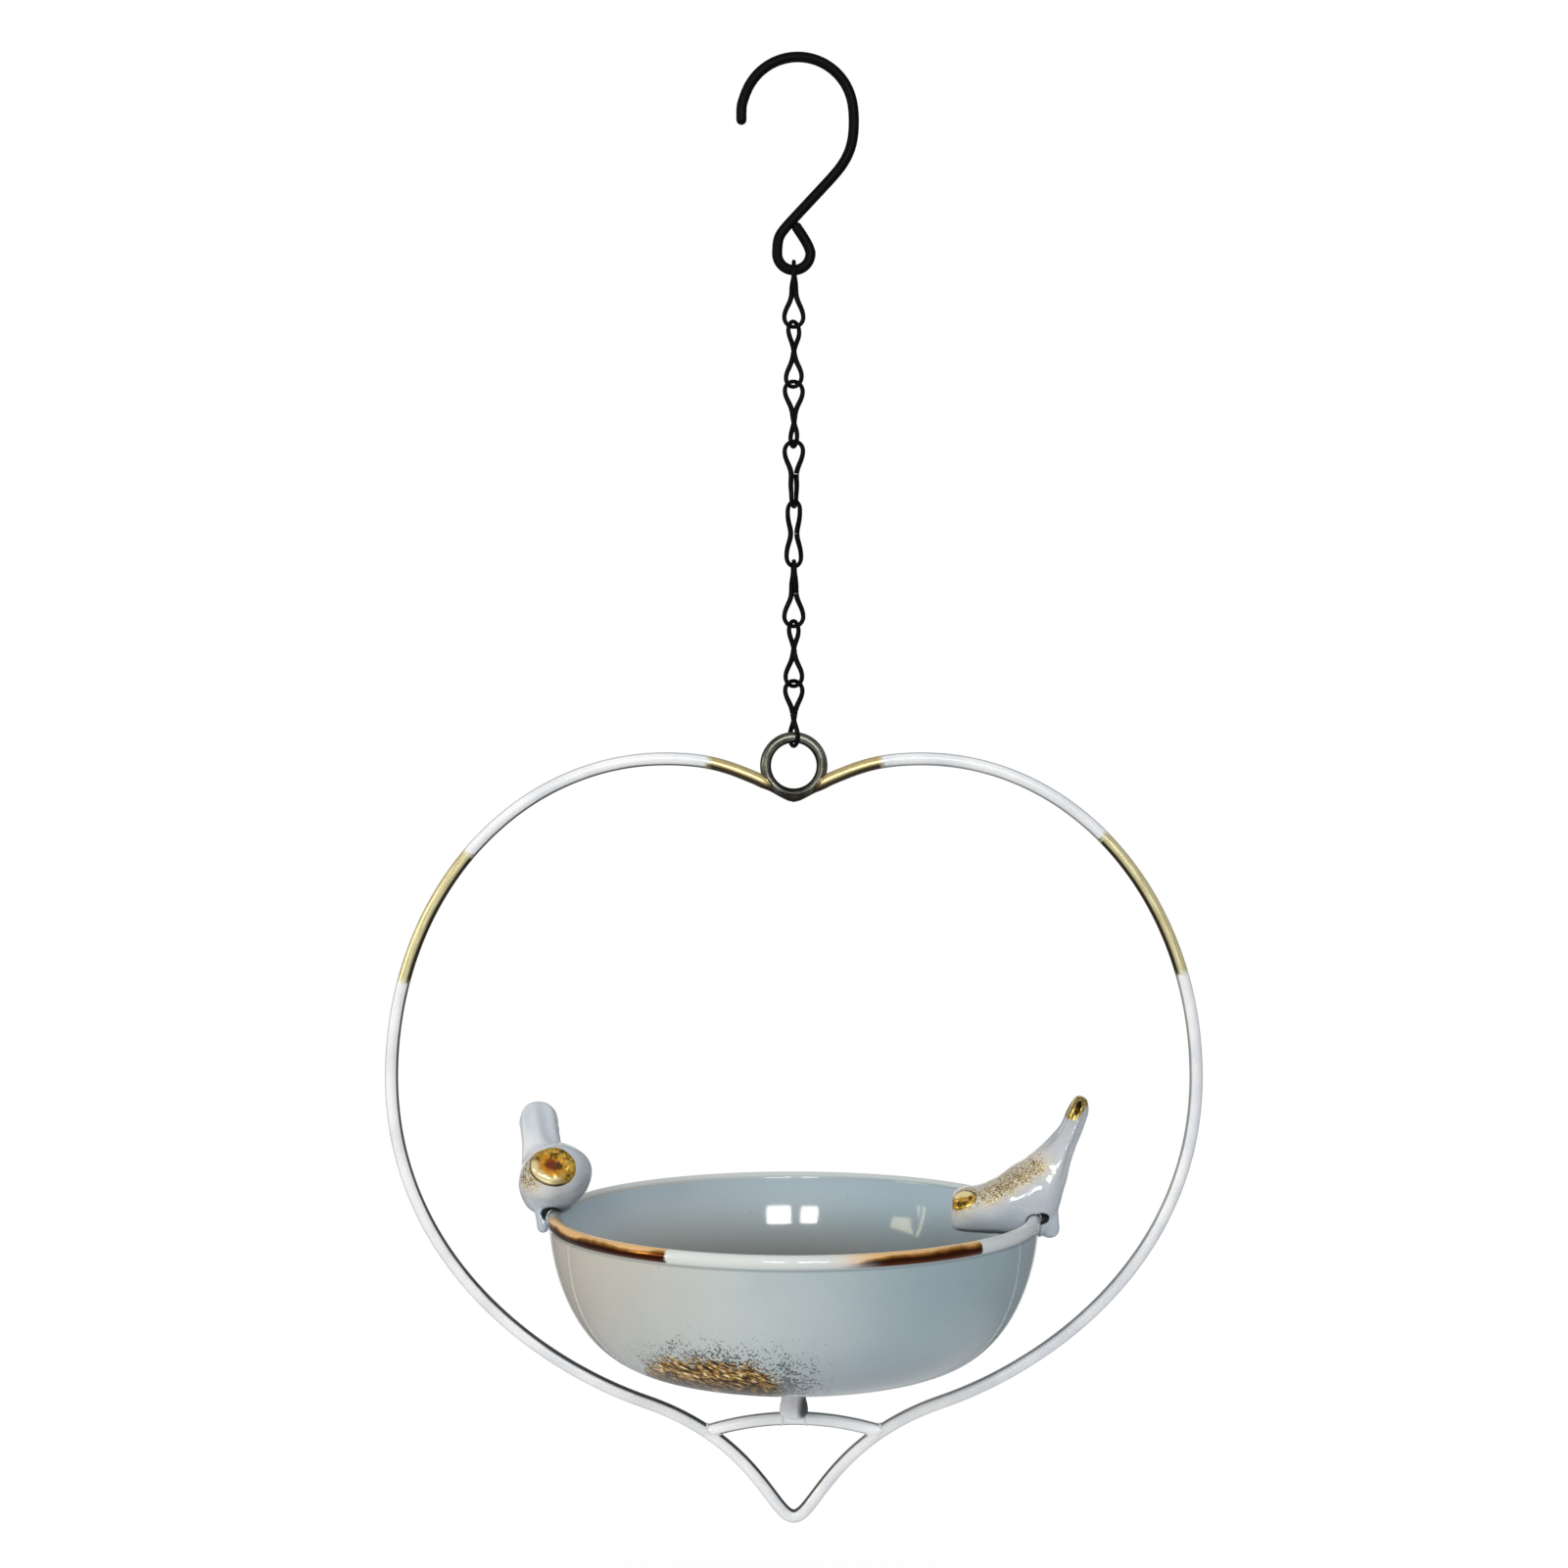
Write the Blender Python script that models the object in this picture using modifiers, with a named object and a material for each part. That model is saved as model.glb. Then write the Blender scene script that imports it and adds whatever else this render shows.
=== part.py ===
import math

import bmesh
import bpy
from mathutils import Matrix, Vector
from mathutils.geometry import interpolate_bezier

# A heart-shaped hanging bird feeder with a ceramic bowl, in metres.
# The origin is the inside top of the hook, where it rests on its branch.
# The viewer looks along +Y, with +X to the right and +Z up.

GAP = 0.0003  # clearance between pieces that touch

# Hook: a bent wire with an open crook above and a closed eye below
HOOK_WIRE = 0.0032
CROOK_RADIUS = 0.01725  # centreline
CROOK_OFFSET = 0.0012  # crook centre to the right of the hanging axis
HOOK_TIP_DROP = 0.0195
SHANK_CORNER_DROP = 0.0284  # where the crook's side would meet the shank
SHANK_SLANT = math.radians(43)  # from vertical
SHANK_BEND = 0.018
EYE_RADIUS = 0.0051  # centreline
EYE_DROP = 0.0640  # hook seat to the eye's lowest centreline
EYE_SHOULDER = 0.0045  # bend radius beside the eye's two ends
EYE_END_RISE = 0.0018  # the straight before the eye's free end turns in
EYE_END_LEAN = math.radians(34)

# Ring whose two ends are welded into the heart's notch
RING_WIRE = 0.0034
RING_RADIUS = 0.00865  # centreline

# Chain: wire links drawn in at the waist, their two ends a quarter turn apart
LINK_COUNT = 8
LINK_WIRE = 0.0013
LINK_PLAY = 0.00055  # sideways play of a link end on the ring's wire
LINK_INNER_LENGTH = 0.01864
LINK_WAIST = 0.0028  # between the two centrelines
CHAIN_TWIST = math.radians(35)  # how far each link hangs turned from the one above

# Heart: one rod, measured from the notch
ROD = 0.004
HEART_WIDTH = 0.2504  # overall
HEART_DROP = 0.2212  # notch to tip, centreline
NOTCH_SLOPE = math.radians(21)
NOTCH_PULL = 0.0185
LOBE_REACH = 0.0393  # lobe top from the middle
LOBE_RISE = 0.0107  # lobe top above the notch
LOBE_PULL_IN = 0.0177
LOBE_PULL_OUT = 0.0465
SIDE_DROP = 0.0866  # widest point below the notch
SIDE_PULL = 0.055
WAIST_REACH = 0.0452  # where the sides turn from bulging to hollow
WAIST_RISE = 0.0350  # above the tip
WAIST_SLOPE = math.radians(19)
WAIST_PULL = 0.036
TIP_PULL = 0.0064

# Bar across the heart's foot, and the post on it
BAR_RISE = 0.0260  # bar ends above the tip
BAR_ARCH = 0.0040
POST_HEIGHT = 0.0162  # from the bar's centreline
POST_RADIUS = 0.0036
POST_FLARE = 0.0012  # weld flare at its foot
SCREW_SHANK = 0.0040
SCREW_HEAD = 0.0080
SCREW_HEAD_HEIGHT = 0.0026
SCREW_GRIP = 0.0095  # length inside the post
PAD_RADIUS = 0.0105
PAD_THICKNESS = 0.0020
SEAL_RADIUS = 0.0085
SEAL_THICKNESS = 0.0015
WASHER_RADIUS = 0.0065
WASHER_THICKNESS = 0.0010

# Bowl: wall bulges from the rim into a flat foot
BOWL_RADIUS = 0.0753
BOWL_HEIGHT = 0.0466
BOWL_FOOT_RADIUS = 0.0359
BOWL_RIM = 0.0042  # thickness of the rolled rim
RIM_LIP = 0.0006  # how far the rim stands out from the wall
BOWL_BASE = 0.0055  # wall at the foot
BOWL_BELLY = 2.68  # fullness of the wall's curve, outwards and downwards
BOWL_FALL = 1.77
FOOT_RING = 0.0035
FOOT_RECESS = 0.0015

# Birds: ribs from beak to tail, each (top forward, top height, bottom forward,
# bottom height, half width) from the rim's top, in bird units
BIRD_UNIT = 0.001
BIRD_LEFT_HEADING = math.radians(-67)
BIRD_LEFT_OVERHANG = 0.0010  # sits a little outside the rim's middle
BIRD_LEFT_RIBS = (
    (13.8, 18.0, 14.8, 10.8, 5.2),
    (10.8, 21.2, 12.8, 6.4, 9.2),
    (5.4, 21.7, 7.8, 1.6, 11.4),
    (0.0, 20.4, 1.6, -2.4, 11.3),
    (-4.4, 19.8, -4.6, -4.4, 9.4),
    (-7.2, 21.8, -10.2, 7.0, 7.0),
    (-9.8, 25.8, -14.0, 19.0, 5.9),
    (-12.2, 30.4, -16.4, 26.8, 5.8),
    (-13.8, 31.9, -15.4, 30.6, 3.4),
)
BIRD_RIGHT_HEADING = math.radians(180)
BIRD_RIGHT_RIBS = (
    (25.2, 3.6, 25.6, -3.6, 4.2),
    (22.0, 7.4, 22.2, -6.8, 7.8),
    (16.2, 7.2, 15.2, -7.4, 9.6),
    (8.8, 11.7, 6.4, -8.2, 11.4),
    (2.4, 16.4, -2.6, -10.2, 11.8),
    (-2.8, 20.2, -7.8, -3.0, 10.2),
    (-7.0, 23.8, -10.2, 11.0, 7.6),
    (-9.6, 27.8, -14.0, 22.2, 5.9),
    (-12.0, 33.2, -17.0, 30.4, 5.8),
    (-13.8, 35.4, -16.2, 34.2, 3.4),
)
BIRD_RIB_POINTS = 12

WIRE_SIDES = 2  # bevel resolution of every wire, which gives eight sides
TURN_STEPS = 44


def clear_scene():
    for obj in list(bpy.data.objects):
        bpy.data.objects.remove(obj)


def make_collection(name):
    collection = bpy.data.collections.new(name)
    bpy.context.scene.collection.children.link(collection)
    return collection


def make_material(name, colour, roughness, metallic=0.0):
    material = bpy.data.materials.new(name)
    material.use_nodes = True
    shader = material.node_tree.nodes["Principled BSDF"]
    shader.inputs["Base Color"].default_value = (*colour, 1.0)
    shader.inputs["Roughness"].default_value = roughness
    shader.inputs["Metallic"].default_value = metallic
    return material


def add_piece(obj, material, parent=None, location=(0, 0, 0), turn=0.0):
    feeder.objects.link(obj)
    obj.parent = parent
    obj.location = location
    obj.rotation_euler.z = turn
    obj.data.materials.append(material)
    return obj


def add_cutter(obj, parent):
    cutters.objects.link(obj)
    obj.parent = parent
    obj.hide_render = True
    obj.display_type = "WIRE"
    return obj


def cut(obj, cutter):
    boolean = obj.modifiers.new("Cut by " + cutter.name, "BOOLEAN")
    boolean.operation = "DIFFERENCE"
    boolean.solver = "EXACT"
    boolean.object = cutter


def round_wire(name, diameter, points, closed=False):
    curve = bpy.data.curves.new(name, "CURVE")
    curve.dimensions = "3D"
    curve.bevel_depth = diameter / 2
    curve.bevel_resolution = WIRE_SIDES
    curve.use_fill_caps = not closed
    spline = curve.splines.new("POLY")
    spline.points.add(len(points) - 1)
    for point, place in zip(spline.points, points):
        point.co = (*place, 1)
    spline.use_cyclic_u = closed
    return bpy.data.objects.new(name, curve)


def as_mesh(curve_object):
    # the curve's surface as a welded mesh that can be cut, or cut others
    bpy.context.scene.collection.objects.link(curve_object)
    bpy.context.view_layer.update()
    evaluated = curve_object.evaluated_get(bpy.context.evaluated_depsgraph_get())
    mesh = bpy.data.meshes.new_from_object(evaluated)
    welded = bmesh.new()
    welded.from_mesh(mesh)
    bmesh.ops.remove_doubles(welded, verts=welded.verts, dist=0.00001)
    bmesh.ops.recalc_face_normals(welded, faces=welded.faces)
    welded.to_mesh(mesh)
    welded.free()
    mesh.materials.clear()
    name = curve_object.name
    place = curve_object.matrix_world.copy()
    bpy.data.objects.remove(curve_object)
    solid = bpy.data.objects.new(name, mesh)
    solid.matrix_world = place
    return solid


def turned(name, profile, closed=False):
    # a profile of (radius, height) points, run down its outer side, turned about Z
    mesh = bpy.data.meshes.new(name)
    shape = bmesh.new()
    corners = [shape.verts.new((radius, 0, height)) for radius, height in profile]
    for first, second in zip(corners, corners[1:]):
        shape.edges.new((first, second))
    if closed:
        shape.edges.new((corners[-1], corners[0]))
    shape.to_mesh(mesh)
    shape.free()
    obj = bpy.data.objects.new(name, mesh)
    screw = obj.modifiers.new("Turn", "SCREW")
    screw.angle = math.tau
    screw.steps = TURN_STEPS
    screw.render_steps = TURN_STEPS
    screw.use_merge_vertices = True
    screw.merge_threshold = 0.00001
    screw.use_smooth_shade = True
    return obj


def bent_path(corners, radii, step=math.radians(15)):
    # straight runs in the XZ plane, with an arc of its own radius at each inner corner
    path = [corners[0]]
    for before, corner, after, radius in zip(corners, corners[1:], corners[2:], radii):
        into = (corner - before).normalized()
        out = (after - corner).normalized()
        side = math.copysign(1, into.cross(out))
        turn = into.angle(out)
        start = corner - into * radius * math.tan(turn / 2)
        centre = start + Vector((-into.y, into.x)) * side * radius
        count = math.ceil(turn / step)
        for index in range(count + 1):
            spoke = Matrix.Rotation(side * turn * index / count, 2) @ (start - centre)
            if (centre + spoke - path[-1]).length > GAP:
                path.append(centre + spoke)
    path.append(corners[-1])
    return [(x, 0, z) for x, z in path]


def hook_path():
    left = CROOK_OFFSET - CROOK_RADIUS
    right = CROOK_OFFSET + CROOK_RADIUS
    top = HOOK_WIRE / 2
    shank_drop = SHANK_CORNER_DROP + (right + EYE_RADIUS) / math.tan(SHANK_SLANT)
    eye_turn = -EYE_DROP + EYE_RADIUS + EYE_END_RISE
    shank_top = Vector((right, -SHANK_CORNER_DROP))
    beside_shank = Vector((math.cos(SHANK_SLANT), -math.sin(SHANK_SLANT)))
    end_way = Vector((-math.sin(EYE_END_LEAN), math.cos(EYE_END_LEAN)))
    turn_in = Vector((EYE_RADIUS, eye_turn))
    # the free end stops beside the shank, nearly a wire's width from its centreline
    reach = (turn_in - shank_top).dot(beside_shank) - HOOK_WIRE * 0.85
    free_end = turn_in + end_way * reach / -end_way.dot(beside_shank)
    corners = [
        Vector((left, -HOOK_TIP_DROP)),
        Vector((left, top)),
        Vector((right, top)),
        shank_top,
        Vector((-EYE_RADIUS, -shank_drop)),
        Vector((-EYE_RADIUS, -EYE_DROP)),
        Vector((EYE_RADIUS, -EYE_DROP)),
        turn_in,
        free_end,
    ]
    radii = (CROOK_RADIUS, CROOK_RADIUS, SHANK_BEND, EYE_SHOULDER, EYE_RADIUS, EYE_RADIUS, EYE_SHOULDER)
    return bent_path(corners, radii)


def link_path(rise, top_yaw):
    # from the joint's axis: the top end stands `rise` above it
    end = RING_WIRE / 2 + LINK_PLAY + LINK_WIRE / 2
    span = LINK_INNER_LENGTH + LINK_WIRE
    side = span - 2 * end
    top = rise - end
    bottom = top - side
    arc_steps = 6
    side_steps = 7
    outline = []
    for index in range(arc_steps + 1):
        angle = math.pi * index / arc_steps
        outline.append((end * math.cos(angle), top + end * math.sin(angle)))
    for way, start, step in ((-1, top, -side), (1, bottom, side)):
        if way == 1:
            for index in range(arc_steps + 1):
                angle = math.pi * (1 + index / arc_steps)
                outline.append((end * math.cos(angle), bottom + end * math.sin(angle)))
        for index in range(1, side_steps):
            part = index / side_steps
            swell = 0.5 + 0.5 * math.cos(math.tau * part)
            reach = LINK_WAIST / 2 + (end - LINK_WAIST / 2) * swell
            outline.append((way * reach, start + step * part))
    points = []
    for reach, height in outline:
        down = min(1, max(0, (top - height) / side))
        yaw = top_yaw + math.pi / 2 * (0.5 - 0.5 * math.cos(math.pi * down))
        points.append((reach * math.cos(yaw), reach * math.sin(yaw), height))
    return points


def heart_knots():
    # the right half from notch to tip: (place, handle before, handle after)
    notch = Vector((0, 0, 0))
    lobe = Vector((LOBE_REACH, 0, LOBE_RISE))
    side = Vector(((HEART_WIDTH - ROD) / 2, 0, -SIDE_DROP))
    waist = Vector((WAIST_REACH, 0, WAIST_RISE - HEART_DROP))
    tip = Vector((0, 0, -HEART_DROP))
    rise = Vector((math.cos(NOTCH_SLOPE), 0, math.sin(NOTCH_SLOPE))) * NOTCH_PULL
    along = Vector((math.cos(WAIST_SLOPE), 0, math.sin(WAIST_SLOPE))) * WAIST_PULL
    across = Vector((1, 0, 0))
    up = Vector((0, 0, SIDE_PULL))
    return [
        (notch, Vector((-rise.x, 0, rise.z)), rise),
        (lobe, lobe - across * LOBE_PULL_IN, lobe + across * LOBE_PULL_OUT),
        (side, side + up, side - up),
        (waist, waist + along, waist - along),
        (tip, tip + across * TIP_PULL, tip - across * TIP_PULL),
    ]


def heart_reach(height):
    # half width of the heart's centreline at a height on its lower sides
    knots = heart_knots()
    for first, second in ((3, 4), (2, 3)):
        run = interpolate_bezier(knots[first][0], knots[first][2], knots[second][1], knots[second][0], 80)
        for above, below in zip(run, run[1:]):
            if above.z >= height >= below.z:
                return above.lerp(below, (above.z - height) / (above.z - below.z)).x
    return 0.0


def heart_rod(name, diameter):
    right = heart_knots()
    flip = Vector((-1, 1, 1))
    left = [(place * flip, after * flip, before * flip) for place, before, after in right[3:0:-1]]
    knots = right + left
    curve = bpy.data.curves.new(name, "CURVE")
    curve.dimensions = "3D"
    curve.bevel_depth = diameter / 2
    curve.bevel_resolution = WIRE_SIDES
    curve.resolution_u = 12
    spline = curve.splines.new("BEZIER")
    spline.bezier_points.add(len(knots) - 1)
    for point, (place, before, after) in zip(spline.bezier_points, knots):
        point.handle_left_type = "FREE"
        point.handle_right_type = "FREE"
        point.co = place
        point.handle_left = before
        point.handle_right = after
    spline.use_cyclic_u = True
    return bpy.data.objects.new(name, curve)


def ring_path():
    # open below, where both ends run into the notch's sloping sides
    start = 2 * NOTCH_SLOPE - math.pi / 2
    sweep = math.tau - 4 * NOTCH_SLOPE
    count = 30
    angles = [start + sweep * index / count for index in range(count + 1)]
    return [(RING_RADIUS * math.cos(angle), 0, RING_RADIUS * math.sin(angle)) for angle in angles]


def bar_path():
    ends = BAR_RISE - HEART_DROP
    reach = heart_reach(ends)
    count = 12
    parts = [2 * index / count - 1 for index in range(count + 1)]
    return [(reach * part, 0, ends + BAR_ARCH * (1 - part * part)) for part in parts]


def bowl_profile(grow=0.0):
    # round the rim, down the outer wall, under the foot, up the hole and up the inner wall
    bead = BOWL_RIM / 2
    drop = BOWL_HEIGHT - bead
    wall_radius = BOWL_RADIUS - RIM_LIP
    count = 10
    outer = []
    for index in range(count + 1):
        angle = math.pi / 2 * index / count
        radius = BOWL_FOOT_RADIUS + (wall_radius - BOWL_FOOT_RADIUS) * math.cos(angle) ** (2 / BOWL_BELLY)
        outer.append(Vector((radius, drop * (1 - math.sin(angle) ** (2 / BOWL_FALL)))))
    outer[-1].x = BOWL_FOOT_RADIUS
    inner = []
    for index, point in enumerate(outer):
        way = (outer[min(index + 1, count)] - outer[max(index - 1, 0)]).normalized()
        if index == 0:
            way = Vector((0, -1))
        elif index == count:
            way = Vector((-1, 0))
        thickness = BOWL_RIM - RIM_LIP + (BOWL_BASE - BOWL_RIM + RIM_LIP) * index / count
        inward = Vector((way.y, -way.x))
        inner.append(point + inward * (thickness + grow))
        outer[index] = point - inward * grow
    # the rim is round from the inner wall over its top to where its lip meets the outer wall
    lip_angle = -math.acos(1 - RIM_LIP / bead)
    steps = 8
    lip = []
    for index in range(steps):
        angle = math.pi + (lip_angle - math.pi) * (index + 1) / steps
        lip.append(Vector((BOWL_RADIUS - bead, drop)) + Vector((math.cos(angle), math.sin(angle))) * (bead + grow))
    outer = outer[1:]
    hole = SCREW_SHANK / 2 + GAP
    foot = BOWL_FOOT_RADIUS - FOOT_RING
    under = [
        (foot, -grow),
        (foot - FOOT_RECESS, FOOT_RECESS - grow),
        (hole, FOOT_RECESS - grow),
        (hole, BOWL_BASE + grow),
    ]
    profile = lip + outer + under + inner[::-1]
    return [tuple(point) for point in profile]


def bird_body(name, ribs):
    # a loft over the ribs in the XZ plane, +X forward, softened by subdivision
    mesh = bpy.data.meshes.new(name)
    shape = bmesh.new()
    rings = []
    for top_x, top_z, bottom_x, bottom_z, half_width in ribs:
        top = Vector((top_x, 0, top_z)) * BIRD_UNIT
        bottom = Vector((bottom_x, 0, bottom_z)) * BIRD_UNIT
        side = Vector((0, half_width * BIRD_UNIT, 0))
        ring = []
        for index in range(BIRD_RIB_POINTS):
            angle = math.tau * index / BIRD_RIB_POINTS
            offset = side * math.cos(angle) + (top - bottom) / 2 * math.sin(angle)
            ring.append(shape.verts.new((top + bottom) / 2 + offset))
        rings.append(ring)
    for first, second in zip(rings, rings[1:]):
        for index in range(BIRD_RIB_POINTS):
            shape.faces.new((first[index - 1], first[index], second[index], second[index - 1]))
    shape.faces.new(rings[0])
    shape.faces.new(rings[-1])
    bmesh.ops.recalc_face_normals(shape, faces=shape.faces)
    shape.to_mesh(mesh)
    shape.free()
    mesh.shade_smooth()
    obj = bpy.data.objects.new(name, mesh)
    soften = obj.modifiers.new("Soften", "SUBSURF")
    soften.levels = 1
    soften.render_levels = 1
    return obj


clear_scene()
feeder = make_collection("heart_bird_feeder")
cutters = make_collection("cutters")

black_wire = make_material("black_wire", (0.012, 0.012, 0.013), 0.35, 0.6)
pewter = make_material("pewter", (0.26, 0.26, 0.2), 0.3, 1.0)
white_paint = make_material("white_paint", (0.72, 0.73, 0.75), 0.4)
glaze = make_material("pale_glaze", (0.4, 0.47, 0.5), 0.12)
bird_glaze = make_material("bird_glaze", (0.44, 0.46, 0.49), 0.15)
rubber = make_material("rubber", (0.03, 0.03, 0.03), 0.8)
steel = make_material("steel", (0.6, 0.6, 0.58), 0.3, 1.0)

# Hook and chain, each link with its origin on the wire that it hangs from
add_piece(round_wire("hook", HOOK_WIRE, hook_path()), black_wire)
pivot = -EYE_DROP
carrier = HOOK_WIRE
for index in range(LINK_COUNT):
    rise = (carrier + LINK_WIRE) / 2 + GAP
    yaw = math.pi / 2 - CHAIN_TWIST * index
    link = round_wire("chain_link_%d" % (index + 1), LINK_WIRE, link_path(rise, yaw), closed=True)
    add_piece(link, black_wire, location=(0, 0, pivot))
    pivot += rise - LINK_INNER_LENGTH - LINK_WIRE
    carrier = LINK_WIRE

# The heart, the bowl and all they carry swing about the ring's wire in the last link
swing = bpy.data.objects.new("frame_swing", None)
swing.location = (0, 0, pivot + (LINK_WIRE + RING_WIRE) / 2 + GAP)
feeder.objects.link(swing)

ring_centre = -RING_RADIUS
notch = (0, 0, ring_centre - RING_RADIUS)

hoop = add_piece(heart_rod("heart_hoop", ROD), white_paint, swing, notch)
hoop_cutter = add_cutter(as_mesh(heart_rod("hoop_clearance", ROD + 2 * GAP)), swing)
hoop_cutter.location = notch

ring = as_mesh(round_wire("suspension_ring", RING_WIRE, ring_path()))
ring.data.shade_smooth()
add_piece(ring, pewter, swing, (0, 0, ring_centre))
cut(ring, hoop_cutter)

bar = add_piece(as_mesh(round_wire("cross_bar", ROD, bar_path())), white_paint, swing, notch)
bar.data.shade_smooth()
cut(bar, hoop_cutter)
bar_cutter = add_cutter(as_mesh(round_wire("bar_clearance", ROD + 2 * GAP, bar_path())), swing)
bar_cutter.location = notch

# Post, pad, bowl, washers and screw stack up from the bar's middle
hole = SCREW_SHANK / 2 + GAP
bar_middle = notch[2] - HEART_DROP + BAR_RISE + BAR_ARCH
post_profile = [
    (hole, POST_HEIGHT),
    (POST_RADIUS, POST_HEIGHT),
    (POST_RADIUS, POST_HEIGHT * 0.55),
    (POST_RADIUS + POST_FLARE * 0.4, POST_HEIGHT * 0.28),
    (POST_RADIUS + POST_FLARE, ROD * 0.3),
    (POST_RADIUS + POST_FLARE, 0),
    (0, 0),
    (0, POST_HEIGHT - SCREW_GRIP - 2 * GAP),
    (hole, POST_HEIGHT - SCREW_GRIP - GAP),
]
post = add_piece(turned("bowl_post", post_profile, closed=True), white_paint, swing, (0, 0, bar_middle))
cut(post, bar_cutter)


def flat_ring(name, radius, thickness, material, height):
    profile = [(hole, thickness), (radius, thickness), (radius, 0), (hole, 0)]
    return add_piece(turned(name, profile, closed=True), material, swing, (0, 0, height))


pad_height = bar_middle + POST_HEIGHT + GAP
flat_ring("base_pad", PAD_RADIUS, PAD_THICKNESS, rubber, pad_height)
bowl_height = pad_height + PAD_THICKNESS + GAP - FOOT_RECESS
add_piece(turned("bowl", bowl_profile(), closed=True), glaze, swing, (0, 0, bowl_height))
seal_height = bowl_height + BOWL_BASE + GAP
flat_ring("seal_washer", SEAL_RADIUS, SEAL_THICKNESS, rubber, seal_height)
washer_height = seal_height + SEAL_THICKNESS + GAP
flat_ring("screw_washer", WASHER_RADIUS, WASHER_THICKNESS, steel, washer_height)
head_height = washer_height + WASHER_THICKNESS + GAP
screw_end = bar_middle + POST_HEIGHT - SCREW_GRIP - head_height
screw_profile = [
    (0, SCREW_HEAD_HEIGHT),
    (SCREW_HEAD * 0.3, SCREW_HEAD_HEIGHT * 0.94),
    (SCREW_HEAD * 0.44, SCREW_HEAD_HEIGHT * 0.7),
    (SCREW_HEAD / 2, SCREW_HEAD_HEIGHT * 0.3),
    (SCREW_HEAD / 2, 0),
    (SCREW_SHANK / 2, 0),
    (SCREW_SHANK / 2, screw_end),
    (0, screw_end),
]
add_piece(turned("clamp_screw", screw_profile), steel, swing, (0, 0, head_height))

# Birds astride the rim, hollowed to fit over it
rim_cutter = add_cutter(turned("bowl_clearance", bowl_profile(GAP), closed=True), swing)
rim_cutter.location = (0, 0, bowl_height)
rim_top = bowl_height + BOWL_HEIGHT
perch = BOWL_RADIUS - BOWL_RIM / 2
bird_left = bird_body("bird_left", BIRD_LEFT_RIBS)
add_piece(bird_left, bird_glaze, swing, (-perch - BIRD_LEFT_OVERHANG, 0, rim_top), BIRD_LEFT_HEADING)
cut(bird_left, rim_cutter)
bird_right = bird_body("bird_right", BIRD_RIGHT_RIBS)
add_piece(bird_right, bird_glaze, swing, (perch, 0, rim_top), BIRD_RIGHT_HEADING)
cut(bird_right, rim_cutter)
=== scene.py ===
import math

import bmesh
import bpy
from mathutils import Matrix, Vector, noise
from mathutils.bvhtree import BVHTree
from mathutils.geometry import interpolate_bezier


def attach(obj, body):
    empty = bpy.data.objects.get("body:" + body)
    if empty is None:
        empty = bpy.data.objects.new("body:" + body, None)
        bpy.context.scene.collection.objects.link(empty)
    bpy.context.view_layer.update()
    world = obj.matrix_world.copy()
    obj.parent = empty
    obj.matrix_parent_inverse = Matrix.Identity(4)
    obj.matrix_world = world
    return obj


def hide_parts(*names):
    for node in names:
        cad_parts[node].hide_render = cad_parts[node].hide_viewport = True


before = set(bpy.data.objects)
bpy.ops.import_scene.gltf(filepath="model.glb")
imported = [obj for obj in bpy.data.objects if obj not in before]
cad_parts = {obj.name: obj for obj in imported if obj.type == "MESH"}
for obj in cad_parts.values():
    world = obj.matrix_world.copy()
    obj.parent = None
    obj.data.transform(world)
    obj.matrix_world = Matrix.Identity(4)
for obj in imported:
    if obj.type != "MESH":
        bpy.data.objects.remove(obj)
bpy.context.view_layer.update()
scene = bpy.context.scene
print("frame loaded")

# Heights that several pieces share, in metres from the hook's seat
levels = {
    "eye": -0.0640, "ringCentre": -0.21577, "notch": -0.22442, "barMiddle": -0.41562, "pad": -0.39912,
    "bowlFoot": -0.39832, "seal": -0.39252, "washer": -0.39072, "screwHead": -0.38942, "rimTop": -0.35172,
}
notchSpot = Vector((0, 0, levels["notch"]))


# Meshes: each piece is drawn as a bmesh, then coated and hung on its body


def placed(name, data):
    # an object of its own in the scene
    made = bpy.data.objects.new(name, data)
    scene.collection.objects.link(made)
    return made


def meshOf(name, shape):
    mesh = bpy.data.meshes.new(name)
    bmesh.ops.recalc_face_normals(shape, faces=shape.faces)
    shape.to_mesh(mesh)
    shape.free()
    return mesh


def coatPiece(piece, material, sharp):
    piece.data.materials.clear()
    piece.data.materials.append(material)
    piece.data.shade_smooth()
    piece.data.set_sharp_from_angle(angle=math.radians(sharp))


def finishPiece(name, shape, material, nodes=(), body="frame", sharp=35):
    piece = placed(name, meshOf(name, shape))
    coatPiece(piece, material, sharp)
    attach(piece, body)
    if nodes:
        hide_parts(*nodes)
    return piece


def turns(count):
    # even angles about a full turn
    return [math.tau * step / count for step in range(count)]


def inPlane(angle):
    # a way in the heart's plane, by its angle above the right
    return Vector((math.cos(angle), 0, math.sin(angle)))


def straightPath(start, end, steps):
    return [Vector(start).lerp(Vector(end), step / steps) for step in range(steps + 1)]


def limited(part):
    return min(1.0, max(0.0, part))


def eased(part):
    # from 0 to 1 with soft ends
    return part * part * (3 - 2 * part)


def skinRings(shape, rings, steps, closed=False):
    # faces from each ring to the next; a ring may be a single point
    pairs = list(zip(rings, rings[1:]))
    if closed:
        pairs.append((rings[-1], rings[0]))
    made = []
    for first, second in pairs:
        for step in range(steps):
            after = (step + 1) % steps
            corners = [first[step % len(first)], first[after % len(first)]]
            corners += [second[after % len(second)], second[step % len(second)]]
            made.append(shape.faces.new(list(dict.fromkeys(corners))))
    return made


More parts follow.
